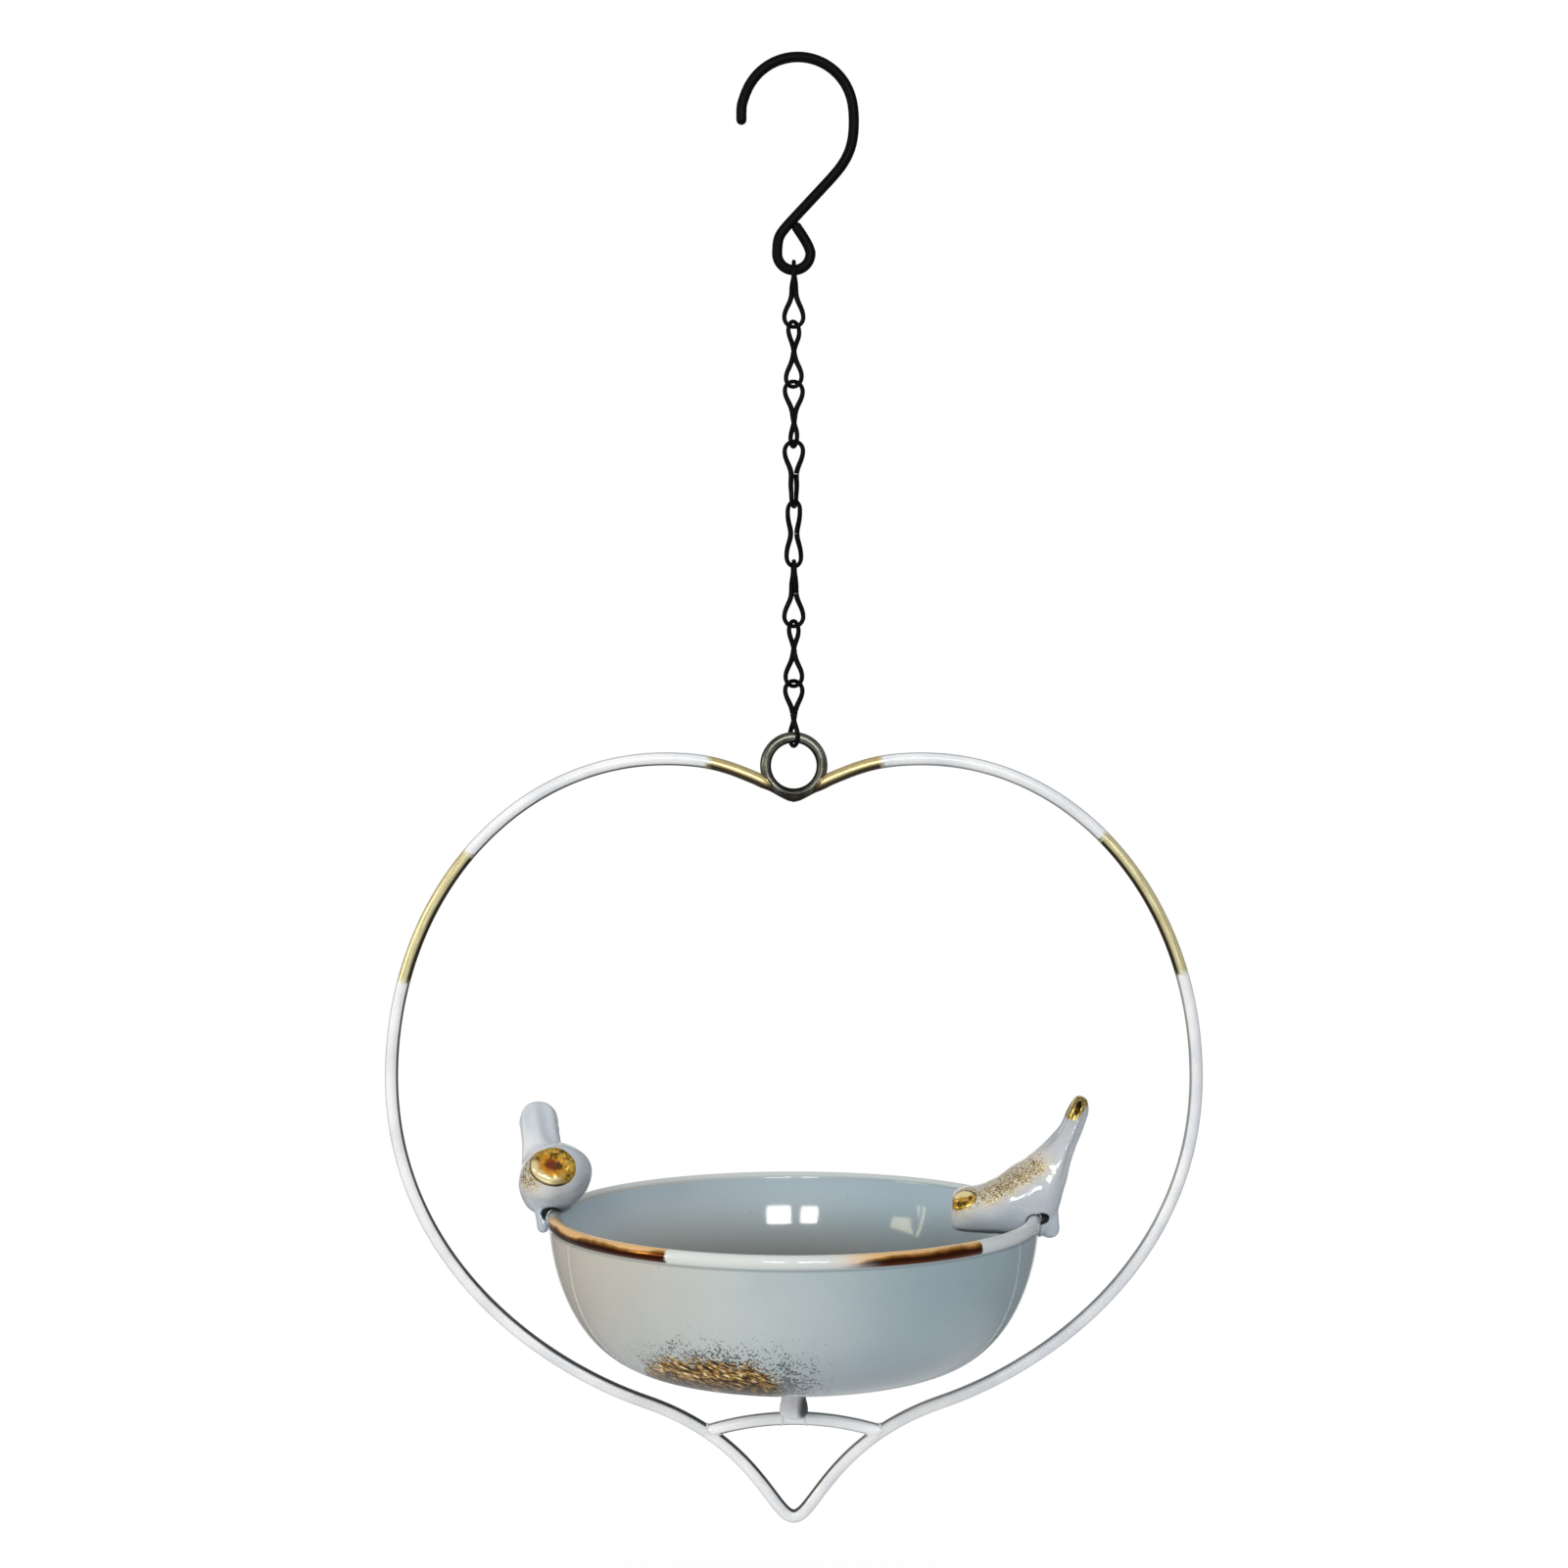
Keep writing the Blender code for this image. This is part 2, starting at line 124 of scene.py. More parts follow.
def wireShape(path, radius, sides=20, closed=False, swell=None, capRings=4):
    # a round wire along the path, with a map of (length along, turn about)
    count = len(path)
    ways = []
    for index in range(count):
        before = path[index - 1] if closed or index else path[0]
        after = path[(index + 1) % count] if closed or index < count - 1 else path[-1]
        ways.append((after - before).normalized())
    side = Vector((0, 1, 0))
    across = []
    for way in ways:
        side = (side - way * side.dot(way)).normalized()
        across.append(side)
    twist = 0.0
    if closed:
        last = (side - ways[0] * side.dot(ways[0])).normalized()
        twist = math.atan2(ways[0].dot(last.cross(across[0])), last.dot(across[0]))
    shape = bmesh.new()
    wrap = shape.loops.layers.uv.new("wrap")
    tips = [math.pi / 2 * cap / (capRings + 1) for cap in range(1, capRings + 1)]
    rings = []
    lengths = []
    run = 0.0
    for index, place in enumerate(path):
        if index:
            run += (place - path[index - 1]).length
        size = radius * (swell(index / (count - 1)) if swell else 1)
        turned = Matrix.Rotation(twist * index / count, 3, ways[index]) @ across[index]
        up = ways[index].cross(turned)
        leans = [0.0]  # further rings lean over each open end and round it off
        if not closed and index == 0:
            leans = [-tip for tip in reversed(tips)] + leans
        if not closed and index == count - 1:
            leans = leans + tips
        for lean in leans:
            middle = place + ways[index] * size * math.sin(lean)
            reach = size * math.cos(lean)
            ring = []
            for angle in turns(sides):
                spoke = turned * math.cos(angle) + up * math.sin(angle)
                ring.append(shape.verts.new(middle + spoke * reach))
            rings.append(ring)
            lengths.append(run)
    lengths.append(run + (path[0] - path[-1]).length)
    for number, face in enumerate(skinRings(shape, rings, sides, closed)):
        first, turn = divmod(number, sides)
        for loop, (far, about) in zip(face.loops, ((0, 0), (0, 1), (1, 1), (1, 0))):
            loop[wrap].uv = (lengths[first + far], (turn + about) / sides)
    if not closed:
        shape.faces.new(rings[0])
        shape.faces.new(rings[-1])
    return shape


def turnedShape(profile, steps, height=0.0, closed=True, stir=None, depths=None):
    # (radius, height) points turned about the hanging axis; depths mark each turn
    shape = bmesh.new()
    marked = shape.verts.layers.float.new("depth") if depths else None
    rings = []
    for number, (radius, up) in enumerate(profile):
        ring = []
        for angle in turns(steps if radius > 0 else 1):
            place = Vector((radius * math.cos(angle), radius * math.sin(angle), height + up))
            ring.append(shape.verts.new(stir(place) if stir else place))
            if depths:
                ring[-1][marked] = depths[number]
        rings.append(ring)
    skinRings(shape, rings, steps, closed)
    return shape


def roundedProfile(corners, radius, steps=5):
    # a closed outline of (radius, height) with its corners rounded
    most = 0.45  # of a side, so that two corners never meet
    outline = []
    for index, corner in enumerate(corners):
        here = Vector(corner)
        into = Vector(corners[index - 1]) - here
        out = Vector(corners[(index + 1) % len(corners)]) - here
        reach = min(radius, into.length * most, out.length * most)
        start = here + into.normalized() * reach
        end = here + out.normalized() * reach
        for step in range(steps + 1):
            part = step / steps
            outline.append(tuple(start.lerp(here, part).lerp(here.lerp(end, part), part)))
    return outline


def appliedMesh(piece):
    # the piece with its modifiers made real
    graph = bpy.context.evaluated_depsgraph_get()
    graph.update()
    mesh = bpy.data.meshes.new_from_object(piece.evaluated_get(graph), depsgraph=graph)
    old = piece.data
    piece.modifiers.clear()
    piece.data = mesh
    mesh.name = piece.name
    bpy.data.meshes.remove(old)


def cutAway(piece, cutterShape, crossing=False):
    # takes a shape out of a piece
    mesh = meshOf("cutter", cutterShape)
    cutter = placed("cutter", mesh)
    cut = piece.modifiers.new("cut", "BOOLEAN")
    cut.operation = "DIFFERENCE"
    cut.solver = "EXACT"
    cut.use_self = crossing
    cut.object = cutter
    appliedMesh(piece)
    bpy.data.objects.remove(cutter)
    bpy.data.meshes.remove(mesh)


def keepLargest(piece):
    # drops any crumb that a cut has left
    shape = bmesh.new()
    shape.from_mesh(piece.data)
    left = set(shape.verts)
    islands = []
    while left:
        island = set()
        edge = [left.pop()]
        while edge:
            vert = edge.pop()
            island.add(vert)
            for link in vert.link_edges:
                other = link.other_vert(vert)
                if other in left:
                    left.discard(other)
                    edge.append(other)
        islands.append(island)
    islands.sort(key=len)
    crumbs = [vert for island in islands[:-1] for vert in island]
    bmesh.ops.delete(shape, geom=crumbs, context="VERTS")
    shape.to_mesh(piece.data)
    shape.free()


# Nodes: a finish is worked out from values, and a plain sum of values becomes nodes


class Value:
    def __init__(self, socket):
        self.socket = socket
        self.tree = socket.id_data

    def __add__(self, other):
        return maths("ADD", self, other)

    def __sub__(self, other):
        return maths("SUBTRACT", self, other)

    def __rsub__(self, other):
        return maths("SUBTRACT", other, self)

    def __mul__(self, other):
        return maths("MULTIPLY", self, other)

    def __abs__(self):
        return maths("ABSOLUTE", self)


def setSocket(socket, value):
    # a value is linked, and a number or a colour is set on the socket itself
    if isinstance(value, Value):
        value.tree.links.new(value.socket, socket)
    elif socket.type == "RGBA":
        socket.default_value = (*value, 1.0)
    else:
        socket.default_value = value


def addNode(tree, kind, inputs=None, **settings):
    made = tree.nodes.new(kind)
    for key, value in settings.items():
        setattr(made, key, value)
    for key, value in (inputs or {}).items():
        setSocket(made.inputs[key], value)
    return made


def valueFrom(tree, kind, inputs=None, output=0, **settings):
    return Value(addNode(tree, kind, inputs, **settings).outputs[output])


def maths(operation, first, second=0.0):
    tree = (first if isinstance(first, Value) else second).tree
    return valueFrom(tree, "ShaderNodeMath", {0: first, 1: second}, operation=operation)


def higher(first, second):
    return maths("MAXIMUM", first, second)


def vectorMaths(operation, first, second=(0, 0, 0), output="Value"):
    return valueFrom(first.tree, "ShaderNodeVectorMath", {0: first, 1: second}, output, operation=operation)


def alongLine(place, way, base=(0, 0, 0)):
    # how far a place lies along a way from a base point
    return vectorMaths("DOT_PRODUCT", vectorMaths("SUBTRACT", place, base, "Vector"), way)


def distanceTo(place, spot):
    return vectorMaths("DISTANCE", place, spot)


def fromAxis(place):
    return vectorMaths("LENGTH", vectorMaths("MULTIPLY", place, (1, 1, 0), "Vector"))


def partsOf(value, axes):
    split = addNode(value.tree, "ShaderNodeSeparateXYZ", {0: value})
    return [Value(split.outputs[axis]) for axis in axes]


def rise(value, low, high, start=0.0, end=1.0):
    # a smooth step of the value between low and high
    inputs = {"Value": value, "From Min": low, "From Max": high, "To Min": start, "To Max": end}
    return valueFrom(value.tree, "ShaderNodeMapRange", inputs, interpolation_type="SMOOTHSTEP")


def mapped(place, **change):
    return valueFrom(place.tree, "ShaderNodeMapping", {"Vector": place, **change})


def noiseOf(place, scale, detail=3.0, rough=0.5, stretch=None):
    if stretch:
        place = mapped(place, Scale=stretch)
    inputs = {"Vector": place, "Scale": scale, "Detail": detail, "Roughness": rough}
    return valueFrom(place.tree, "ShaderNodeTexNoise", inputs, "Fac")


def raggedBy(place, scale, reach):
    # how far an edge wavers out and in
    return noiseOf(place, scale, 3, 0.6) * reach - reach / 2


def cellsOf(place, scale):
    return valueFrom(place.tree, "ShaderNodeTexVoronoi", {"Vector": place, "Scale": scale}, "Distance")


def wrapOf(place):
    # the map of (length along, turn about) that a wire or a bill carries
    return valueFrom(place.tree, "ShaderNodeUVMap", uv_map="wrap")


def markOf(place, name):
    return valueFrom(place.tree, "ShaderNodeAttribute", output="Fac", attribute_name=name)


def blendColour(factor, first, second):
    made = addNode(factor.tree, "ShaderNodeMix", data_type="RGBA")
    sockets = {socket.identifier: socket for socket in made.inputs}
    setSocket(sockets["Factor_Float"], factor)
    setSocket(sockets["A_Color"], first)
    setSocket(sockets["B_Color"], second)
    return Value(next(socket for socket in made.outputs if socket.identifier == "Result_Color"))


def layered(colour, *layers):
    # tones laid over a colour in turn, each where its mask is
    for mask, tone in layers:
        colour = blendColour(mask, colour, tone)
    return colour


def rampColour(factor, stops):
    # a colour that passes through several stops in turn
    layers = [(rise(factor, before[0], after[0]), after[1]) for before, after in zip(stops, stops[1:])]
    return layered(stops[0][1], *layers)


def blendValue(factor, first, second):
    return factor * second + (1.0 - factor) * first


def bumpOf(height, strength, distance):
    inputs = {"Height": height, "Strength": strength, "Distance": distance}
    return valueFrom(height.tree, "ShaderNodeBump", inputs)


def startMaterial(name):
    material = bpy.data.materials.new(name)
    material.use_nodes = True
    place = valueFrom(material.node_tree, "ShaderNodeTexCoord", output="Object")
    return material, material.node_tree.nodes["Principled BSDF"], place


def joinShader(shader, **sockets):
    for name, value in sockets.items():
        setSocket(shader.inputs[name.replace("_", " ")], value)


def seenRays(tree):
    # rays that meet a white background, and among them those straight from the camera
    rays = addNode(tree, "ShaderNodeLightPath").outputs
    kinds = ("Is Camera Ray", "Is Glossy Ray", "Is Transmission Ray")
    straight, glossy, through = (Value(rays[kind]) for kind in kinds)
    return higher(higher(straight, glossy), through), straight


# Camera, floor and light

camera = {"place": (-0.0030, -0.750, -0.2214), "lens": 56.215, "sensor": 36.0, "sight": (0.01, 60.0)}
lens = bpy.data.cameras.new("camera")
lens.lens = camera["lens"]
lens.sensor_width = camera["sensor"]
lens.clip_start, lens.clip_end = camera["sight"]
viewer = placed("camera", lens)
viewer.location = camera["place"]
viewer.rotation_euler = (math.pi / 2, 0, 0)  # level, along +Y
scene.camera = viewer
scene.view_settings.view_transform = "Standard"

studio = {
    "floorHeight": -0.62, "floorRadius": 1.2, "floorSides": 96, "floorFade": (0.20, 0.58),
    "floorTones": ((0.80, 0.80, 0.81), (0.84, 0.84, 0.84)), "floorGrain": 30,
    "floorRough": 0.9, "floorWhite": 0.82,
    "roomLight": 0.42, "roomSheen": 0.34, "flagSheen": 0.22, "flagEdge": (0.30, 0.60),
    "sheetEdge": (0.90, 0.965),
    "lamps": (
        # name, place, aim, width, height, watts, colour, mirrored in glossy finishes
        ("rightWindow", (0.20, -1.36, 0.17), (0, 0, -0.36), 0.33, 0.29, 5.6, (1.0, 0.985, 0.96), True),
        ("leftWindow", (-0.21, -1.36, 0.17), (0, 0, -0.36), 0.23, 0.27, 3.6, (1.0, 0.985, 0.96), True),
        ("warmSide", (-1.5, -0.90, 0.20), (0, 0, -0.33), 0.9, 0.9, 8.5, (1.0, 0.95, 0.88), False),
        ("warmCard", (-1.40, -0.62, 0.05), (0, 0, -0.36), 0.50, 0.42, 4.0, (1.0, 0.86, 0.60), True),
        ("coolSide", (1.5, -0.75, 0.05), (0, 0, -0.33), 0.5, 1.1, 1.6, (0.86, 0.93, 1.0), False),
        ("topSheet", (0.0, -0.10, 1.35), (0, 0, -0.33), 1.2, 1.0, 2.4, (0.97, 0.985, 1.0), False),
    ),
}

world = bpy.data.worlds.new("studio")
scene.world = world
world.use_nodes = True
seen, fromCamera = seenRays(world.node_tree)
# mirrored rays meet the white sheet behind, dark flags beside it and a dim room in front
skyward = valueFrom(world.node_tree, "ShaderNodeTexCoord", output="Generated")
outlook = alongLine(skyward, (0, 1, 0))
room = rise(outlook, *studio["flagEdge"], studio["roomSheen"], studio["flagSheen"])
sheet = blendValue(higher(rise(outlook, *studio["sheetEdge"]), fromCamera), room, 1.0)
backdrop = world.node_tree.nodes["Background"]
joinShader(backdrop, Color=(1, 1, 1), Strength=blendValue(seen, studio["roomLight"], sheet))

floorMaterial, shader, place = startMaterial("paleFloor")
tone = blendColour(noiseOf(place, studio["floorGrain"]), *studio["floorTones"])
joinShader(shader, Base_Color=tone, Roughness=studio["floorRough"])
glow = valueFrom(place.tree, "ShaderNodeEmission", {"Color": (1, 1, 1), "Strength": 1.0})
white = seenRays(place.tree)[0] * studio["floorWhite"]
lit = valueFrom(place.tree, "ShaderNodeMixShader", {0: white, 1: Value(shader.outputs[0]), 2: glow})
clear = valueFrom(place.tree, "ShaderNodeBsdfTransparent")
fade = rise(fromAxis(place), *studio["floorFade"])
faded = valueFrom(place.tree, "ShaderNodeMixShader", {0: fade, 1: lit, 2: clear})
setSocket(place.tree.nodes["Material Output"].inputs["Surface"], faded)
shape = bmesh.new()
bmesh.ops.create_circle(shape, cap_ends=True, segments=studio["floorSides"], radius=studio["floorRadius"])
bmesh.ops.translate(shape, verts=shape.verts, vec=(0, 0, studio["floorHeight"]))
floor = placed("floor", meshOf("floor", shape))
floor.data.materials.append(floorMaterial)

for name, spot, aim, width, height, watts, colour, mirrored in studio["lamps"]:
    lamp = bpy.data.lights.new(name, "AREA")
    lamp.shape = "RECTANGLE"
    lamp.size = width
    lamp.size_y = height
    lamp.energy = watts
    lamp.color = colour
    holder = placed(name, lamp)
    holder.location = spot
    holder.rotation_euler = (Vector(aim) - Vector(spot)).to_track_quat("-Z", "Y").to_euler()
    holder.visible_glossy = mirrored
print("camera, floor and lamps")


# Finishes of metal, rubber and paint


def plainFinish(name, look, **sockets):
    # two tones clouded together, over a fine grain
    material, shader, place = startMaterial(name)
    cloud = noiseOf(place, *look["cloud"])
    grain = noiseOf(place, *look["grain"]) if "grain" in look else cloud
    joinShader(
        shader,
        Base_Color=blendColour(cloud, look["dark"], look["pale"]),
        Roughness=rise(cloud, 0.2, 0.8, *look["rough"]),
        Normal=bumpOf(grain, *look["bump"]),
        **sockets,
    )
    return material


def pewterMaterial():
    look = {"dark": (0.055, 0.055, 0.045), "pale": (0.235, 0.24, 0.205), "shadeLine": (0.012, 0.012, 0.011),
            "cloud": 260, "drawn": (120, 14, 1), "rough": (0.30, 0.44), "bump": (0.2, 0.0001),
            "innerTurn": 0.25, "innerShade": (0.205, 0.150, 0.0, 0.9), "patchy": 0.05,
            "scorchAndShade": (0.0105, 0.0045, 0.0, 0.85), "ragged": 0.003}
    material, shader, place = startMaterial("pewter")
    wrapped = wrapOf(place)
    drawn = noiseOf(wrapped, 1.0, 3, 0.5, look["drawn"])
    cloud = noiseOf(place, look["cloud"], 4, 0.6)
    colour = blendColour(rise(drawn * 0.5 + cloud * 0.5, 0.30, 0.62), look["dark"], look["pale"])
    # painted shade darkens the inner side of the wire
    inward = abs(partsOf(wrapped, "Y")[0] - look["innerTurn"])
    innerShade = rise(cloud * look["patchy"] + inward, *look["innerShade"])
    # and its foot is darkened, partly weld scorch and partly painted shade where it meets the rod
    scorchAndShade = rise(cloud * look["ragged"] + distanceTo(place, notchSpot), *look["scorchAndShade"])
    joinShader(
        shader,
        Base_Color=blendColour(higher(innerShade, scorchAndShade), colour, look["shadeLine"]),
        Roughness=rise(cloud, 0.25, 0.75, *look["rough"]),
        Normal=bumpOf(drawn, *look["bump"]),
        Metallic=1.0,
    )
    return material


def gildFinish(place, mask, ground, groundRough, groundHeight, gold):
    # gilding over a ground where the mask is: gives colour, roughness and height
    brushed = noiseOf(place, gold["scale"], 4, 0.62, gold.get("stretch"))
    tone = blendColour(rise(brushed, 0.3, 0.72), gold["dark"], gold["pale"])
    colour = blendColour(mask, ground, tone)
    rough = blendValue(mask, groundRough, rise(brushed, 0.2, 0.8, *gold["rough"]))
    leaf = mask * (brushed * 0.6 + 0.5)
    return colour, rough, leaf * gold["lift"] + groundHeight


def goldDust(place, cover, grain, dust):
    # specks that thicken with the cover and run together where it is full
    fill = cover * dust["thick"] + (grain * dust["grain"] - dust["bare"])
    return rise(fill - cellsOf(place, dust["cells"]), *dust["soft"]) * rise(cover, *dust["fade"])


def enamelMaterial(name, bands=(), lined=True, tint=None):
    # white paint on wire, with gilded stretches between pairs of lengths along it
    look = {
        "shade": (0.70, 0.735, 0.785), "white": (0.83, 0.85, 0.88), "speck": (0.40, 0.41, 0.42),
        "shadeLine": (0.020, 0.021, 0.023), "edge": (0.26, 0.275, 0.30), "goldShade": (0.045, 0.030, 0.012),
        "scorchAndShade": (0.022, 0.017, 0.010), "honey": ((0.56, 0.44, 0.19), (0.80, 0.66, 0.34)),
        "lemon": ((0.66, 0.59, 0.30), (0.90, 0.84, 0.54)), "rough": (0.26, 0.40), "metal": 0.62,
        "cloud": 60, "peel": 1500, "specks": 420, "speckSize": (0.10, 0.04), "ragged": (900, 0.004),
        # shares of a turn about the rod: where its inner and outer sides are, and how wide each tone is
        "innerTurn": 0.75, "outerTurn": 0.25, "wander": 0.03, "shadeLineTurn": (0.146, 0.110), "heavier": 0.025,
        "edgeShadeTurn": (0.125, 0.085, 0.0, 0.75), "goldShadeTurn": (0.215, 0.145), "notchGoldShade": 0.045,
        # where on the heart the painted shade line is heavy or faint, and where the notch begins
        "heavyX": (0.01, -0.03), "heavyZ": (-0.33, -0.40), "faintX": (0.0, 0.04, 0.95, 0.62),
        "notchZ": (-0.240, -0.230), "bandEnd": 0.0014, "scorchedAndShaded": (0.0125, 0.0080), "brownWander": 0.003,
        "speckShare": 0.35, "peelDepth": 0.6, "plainBump": (0.12, 0.0001), "goldBump": (0.14, 0.0001),
    }
    look.update(tint or {})
    gold = {"scale": 1.0, "rough": (0.26, 0.42), "lift": 0.4, "stretch": (160, 26, 1)}
    material, shader, place = startMaterial(name)
    cloud = noiseOf(place, look["cloud"], 4, 0.55)
    peel = noiseOf(place, look["peel"], 2)
    ground = blendColour(rise(cloud, 0.3, 0.65), look["shade"], look["white"])
    specks = rise(cellsOf(place, look["specks"]), *look["speckSize"])
    ground = blendColour(specks * look["speckShare"], ground, look["speck"])
    wrapped = wrapOf(place)
    along, turn = partsOf(wrapped, "XY")
    x, z = partsOf(place, "XZ")
    inward = cloud * look["wander"] + abs(turn - look["innerTurn"])
    if lined:
        # a thin dark line of painted shade runs along the inner side, thickest at the lower left
        heavy = rise(x, *look["heavyX"]) * rise(z, *look["heavyZ"])
        shadeLine = rise(inward - heavy * look["heavier"], *look["shadeLineTurn"])
        ground = blendColour(shadeLine * rise(x, *look["faintX"]), ground, look["shadeLine"])
        # and a fainter painted shade along the outer side
        outward = cloud * look["wander"] + abs(turn - look["outerTurn"])
        ground = blendColour(rise(outward, *look["edgeShadeTurn"]), ground, look["edge"])
    rough = rise(cloud, 0.25, 0.75, *look["rough"])
    if not bands:
        joinShader(shader, Base_Color=ground, Roughness=rough, Normal=bumpOf(peel, *look["plainBump"]))
        return material
    length = along + raggedBy(place, *look["ragged"])
    soft = look["bandEnd"]
    mask = None
    for start, end in bands:
        inside = rise(length, start - soft, start + soft) * rise(length, end + soft, end - soft)
        mask = higher(mask, inside) if mask else inside
    # the gilding is honey at the notch and paler down the sides
    atNotch = rise(z, *look["notchZ"])
    gold["dark"], gold["pale"] = (
        blendColour(atNotch, side, notch) for side, notch in zip(look["lemon"], look["honey"])
    )
    colour, rough, height = gildFinish(wrapped, mask, ground, rough, peel * look["peelDepth"], gold)
    # painted shade darkens the inner side of the gilding, more so at the notch
    shaded = mask * rise(inward - atNotch * look["notchGoldShade"], *look["goldShadeTurn"])
    colour = blendColour(shaded, colour, look["goldShade"])
    # the rod is darkened at the notch, partly weld scorch and partly painted shade where it meets the ring
    scorchedAndShaded = rise(peel * look["brownWander"] + distanceTo(place, notchSpot), *look["scorchedAndShaded"])
    colour = blendColour(scorchedAndShaded, colour, look["scorchAndShade"])
    joinShader(shader, Base_Color=colour, Roughness=rough, Metallic=mask * look["metal"],
               Normal=bumpOf(height, *look["goldBump"]))
    return material


coatLook = {
    "dark": (0.0012, 0.0012, 0.0013), "pale": (0.0034, 0.0034, 0.0036), "cloud": (140, 4), "grain": (2600, 2),
    "rough": (0.40, 0.58), "bump": (0.25, 0.00012),
}
steelLook = {
    "dark": (0.46, 0.46, 0.45), "pale": (0.66, 0.66, 0.64), "cloud": (900, 4, 0.6, (1, 1, 5)),
    "rough": (0.2, 0.38), "bump": (0.12, 0.00006),
}
rubberLook = {
    "dark": (0.018, 0.018, 0.018), "pale": (0.05, 0.05, 0.048), "cloud": (420, 4, 0.6), "grain": (3000, 2),
    "rough": (0.62, 0.85), "bump": (0.3, 0.0001),
}
blackCoat = plainFinish("blackCoat", coatLook, Specular_IOR_Level=0.07)
pewter = pewterMaterial()
brightSteel = plainFinish("brightSteel", steelLook, Metallic=1.0)
darkRubber = plainFinish("rubber", rubberLook)
# the bar's enamel is painted lighter than the heart's, standing in for light in the bowl's shadow, with
# darker painted shade along its edges
barLitTintShadedEdges = {"shade": (0.86, 0.91, 0.97), "white": (0.94, 0.97, 1.0), "edge": (0.12, 0.13, 0.145)}
barLitEnamel = enamelMaterial("barEnamelLit", tint=barLitTintShadedEdges)
weldEnamel = enamelMaterial("plainEnamel", lined=False)
print("metal, rubber and paint finishes")


# Hook and chain

hook = {
    "wire": 0.0032, "crook": 0.01725, "offset": 0.0012, "tipDrop": 0.0195, "cornerDrop": 0.0284,
    "slant": math.radians(43), "bend": 0.018, "eye": 0.0051, "shoulder": 0.0045, "endRise": 0.0018,
    "endLean": math.radians(34), "endOverlap": 0.80, "arcStep": math.radians(4), "closest": 0.0002,
    "sides": 28, "capRings": 6,
    # bends are softened above a level, in even steps, apart from the first few at the tip
    "softAbove": -0.0585, "softStep": 0.0006, "softRounds": 60, "tipSteps": 8,
}


def bentPath(corners, radii):
    # straight runs with an arc at each inner corner, in the frame's plane
    path = [corners[0]]
    for before, corner, after, radius in zip(corners, corners[1:], corners[2:], radii):
        into = (corner - before).normalized()
        out = (after - corner).normalized()
        side = math.copysign(1, into.cross(out))
        turn = into.angle(out)
        start = corner - into * radius * math.tan(turn / 2)
        centre = start + Vector((-into.y, into.x)) * side * radius
        count = math.ceil(turn / hook["arcStep"])
        for index in range(count + 1):
            spoke = Matrix.Rotation(side * turn * index / count, 2) @ (start - centre)
            if (centre + spoke - path[-1]).length > hook["closest"]:
                path.append(centre + spoke)
    path.append(corners[-1])
    return [Vector((x, 0, z)) for x, z in path]


def softenedPath(path):
    # even steps, with the joins of arc and straight softened
    even = [path[0]]
    for before, after in zip(path, path[1:]):
        steps = max(1, round((after - before).length / hook["softStep"]))
        even += [before.lerp(after, step / steps) for step in range(1, steps + 1)]
    for softening in range(hook["softRounds"]):
        softer = even[:]
        for index in range(hook["tipSteps"] + 1, len(even) - 1):
            if even[index].z > hook["softAbove"]:
                softer[index] = (even[index - 1] + even[index] * 2 + even[index + 1]) / 4
        even = softer
    return even


def hookPath():
    left = hook["offset"] - hook["crook"]
    right = hook["offset"] + hook["crook"]
    top = hook["wire"] / 2
    low = levels["eye"]
    reach = hook["eye"]
    shankTop = Vector((right, -hook["cornerDrop"]))
    shankDrop = hook["cornerDrop"] + (right + reach) / math.tan(hook["slant"])
    beside = Vector((math.cos(hook["slant"]), -math.sin(hook["slant"])))
    endWay = Vector((-math.sin(hook["endLean"]), math.cos(hook["endLean"])))
    turnIn = Vector((reach, low + reach + hook["endRise"]))
    endRun = (turnIn - shankTop).dot(beside) - hook["wire"] * hook["endOverlap"]
    corners = [
        Vector((left, -hook["tipDrop"] + hook["wire"] / 2)), Vector((left, top)), Vector((right, top)),
        shankTop, Vector((-reach, -shankDrop)), Vector((-reach, low)), Vector((reach, low)),
        turnIn, turnIn + endWay * endRun / -endWay.dot(beside),
    ]
    bends = (hook["crook"], hook["crook"], hook["bend"], hook["shoulder"], reach, reach, hook["shoulder"])
    return softenedPath(bentPath(corners, bends))


shape = wireShape(hookPath(), hook["wire"] / 2, sides=hook["sides"], capRings=hook["capRings"])
finishPiece("hookWire", shape, blackCoat, ("hook",), body="hook")

chain = {
    "count": 8, "wire": 0.0013, "ringWire": 0.0034, "play": 0.00055, "inner": 0.01864, "waist": 0.0019,
    "twist": math.radians(35), "gap": 0.0003, "seam": 0.00012, "arcSteps": 18, "sideSteps": 28,
    "sides": 16, "coat": (1.13, 0.13),  # mean thickness and how much it builds up along the pinched sides
}


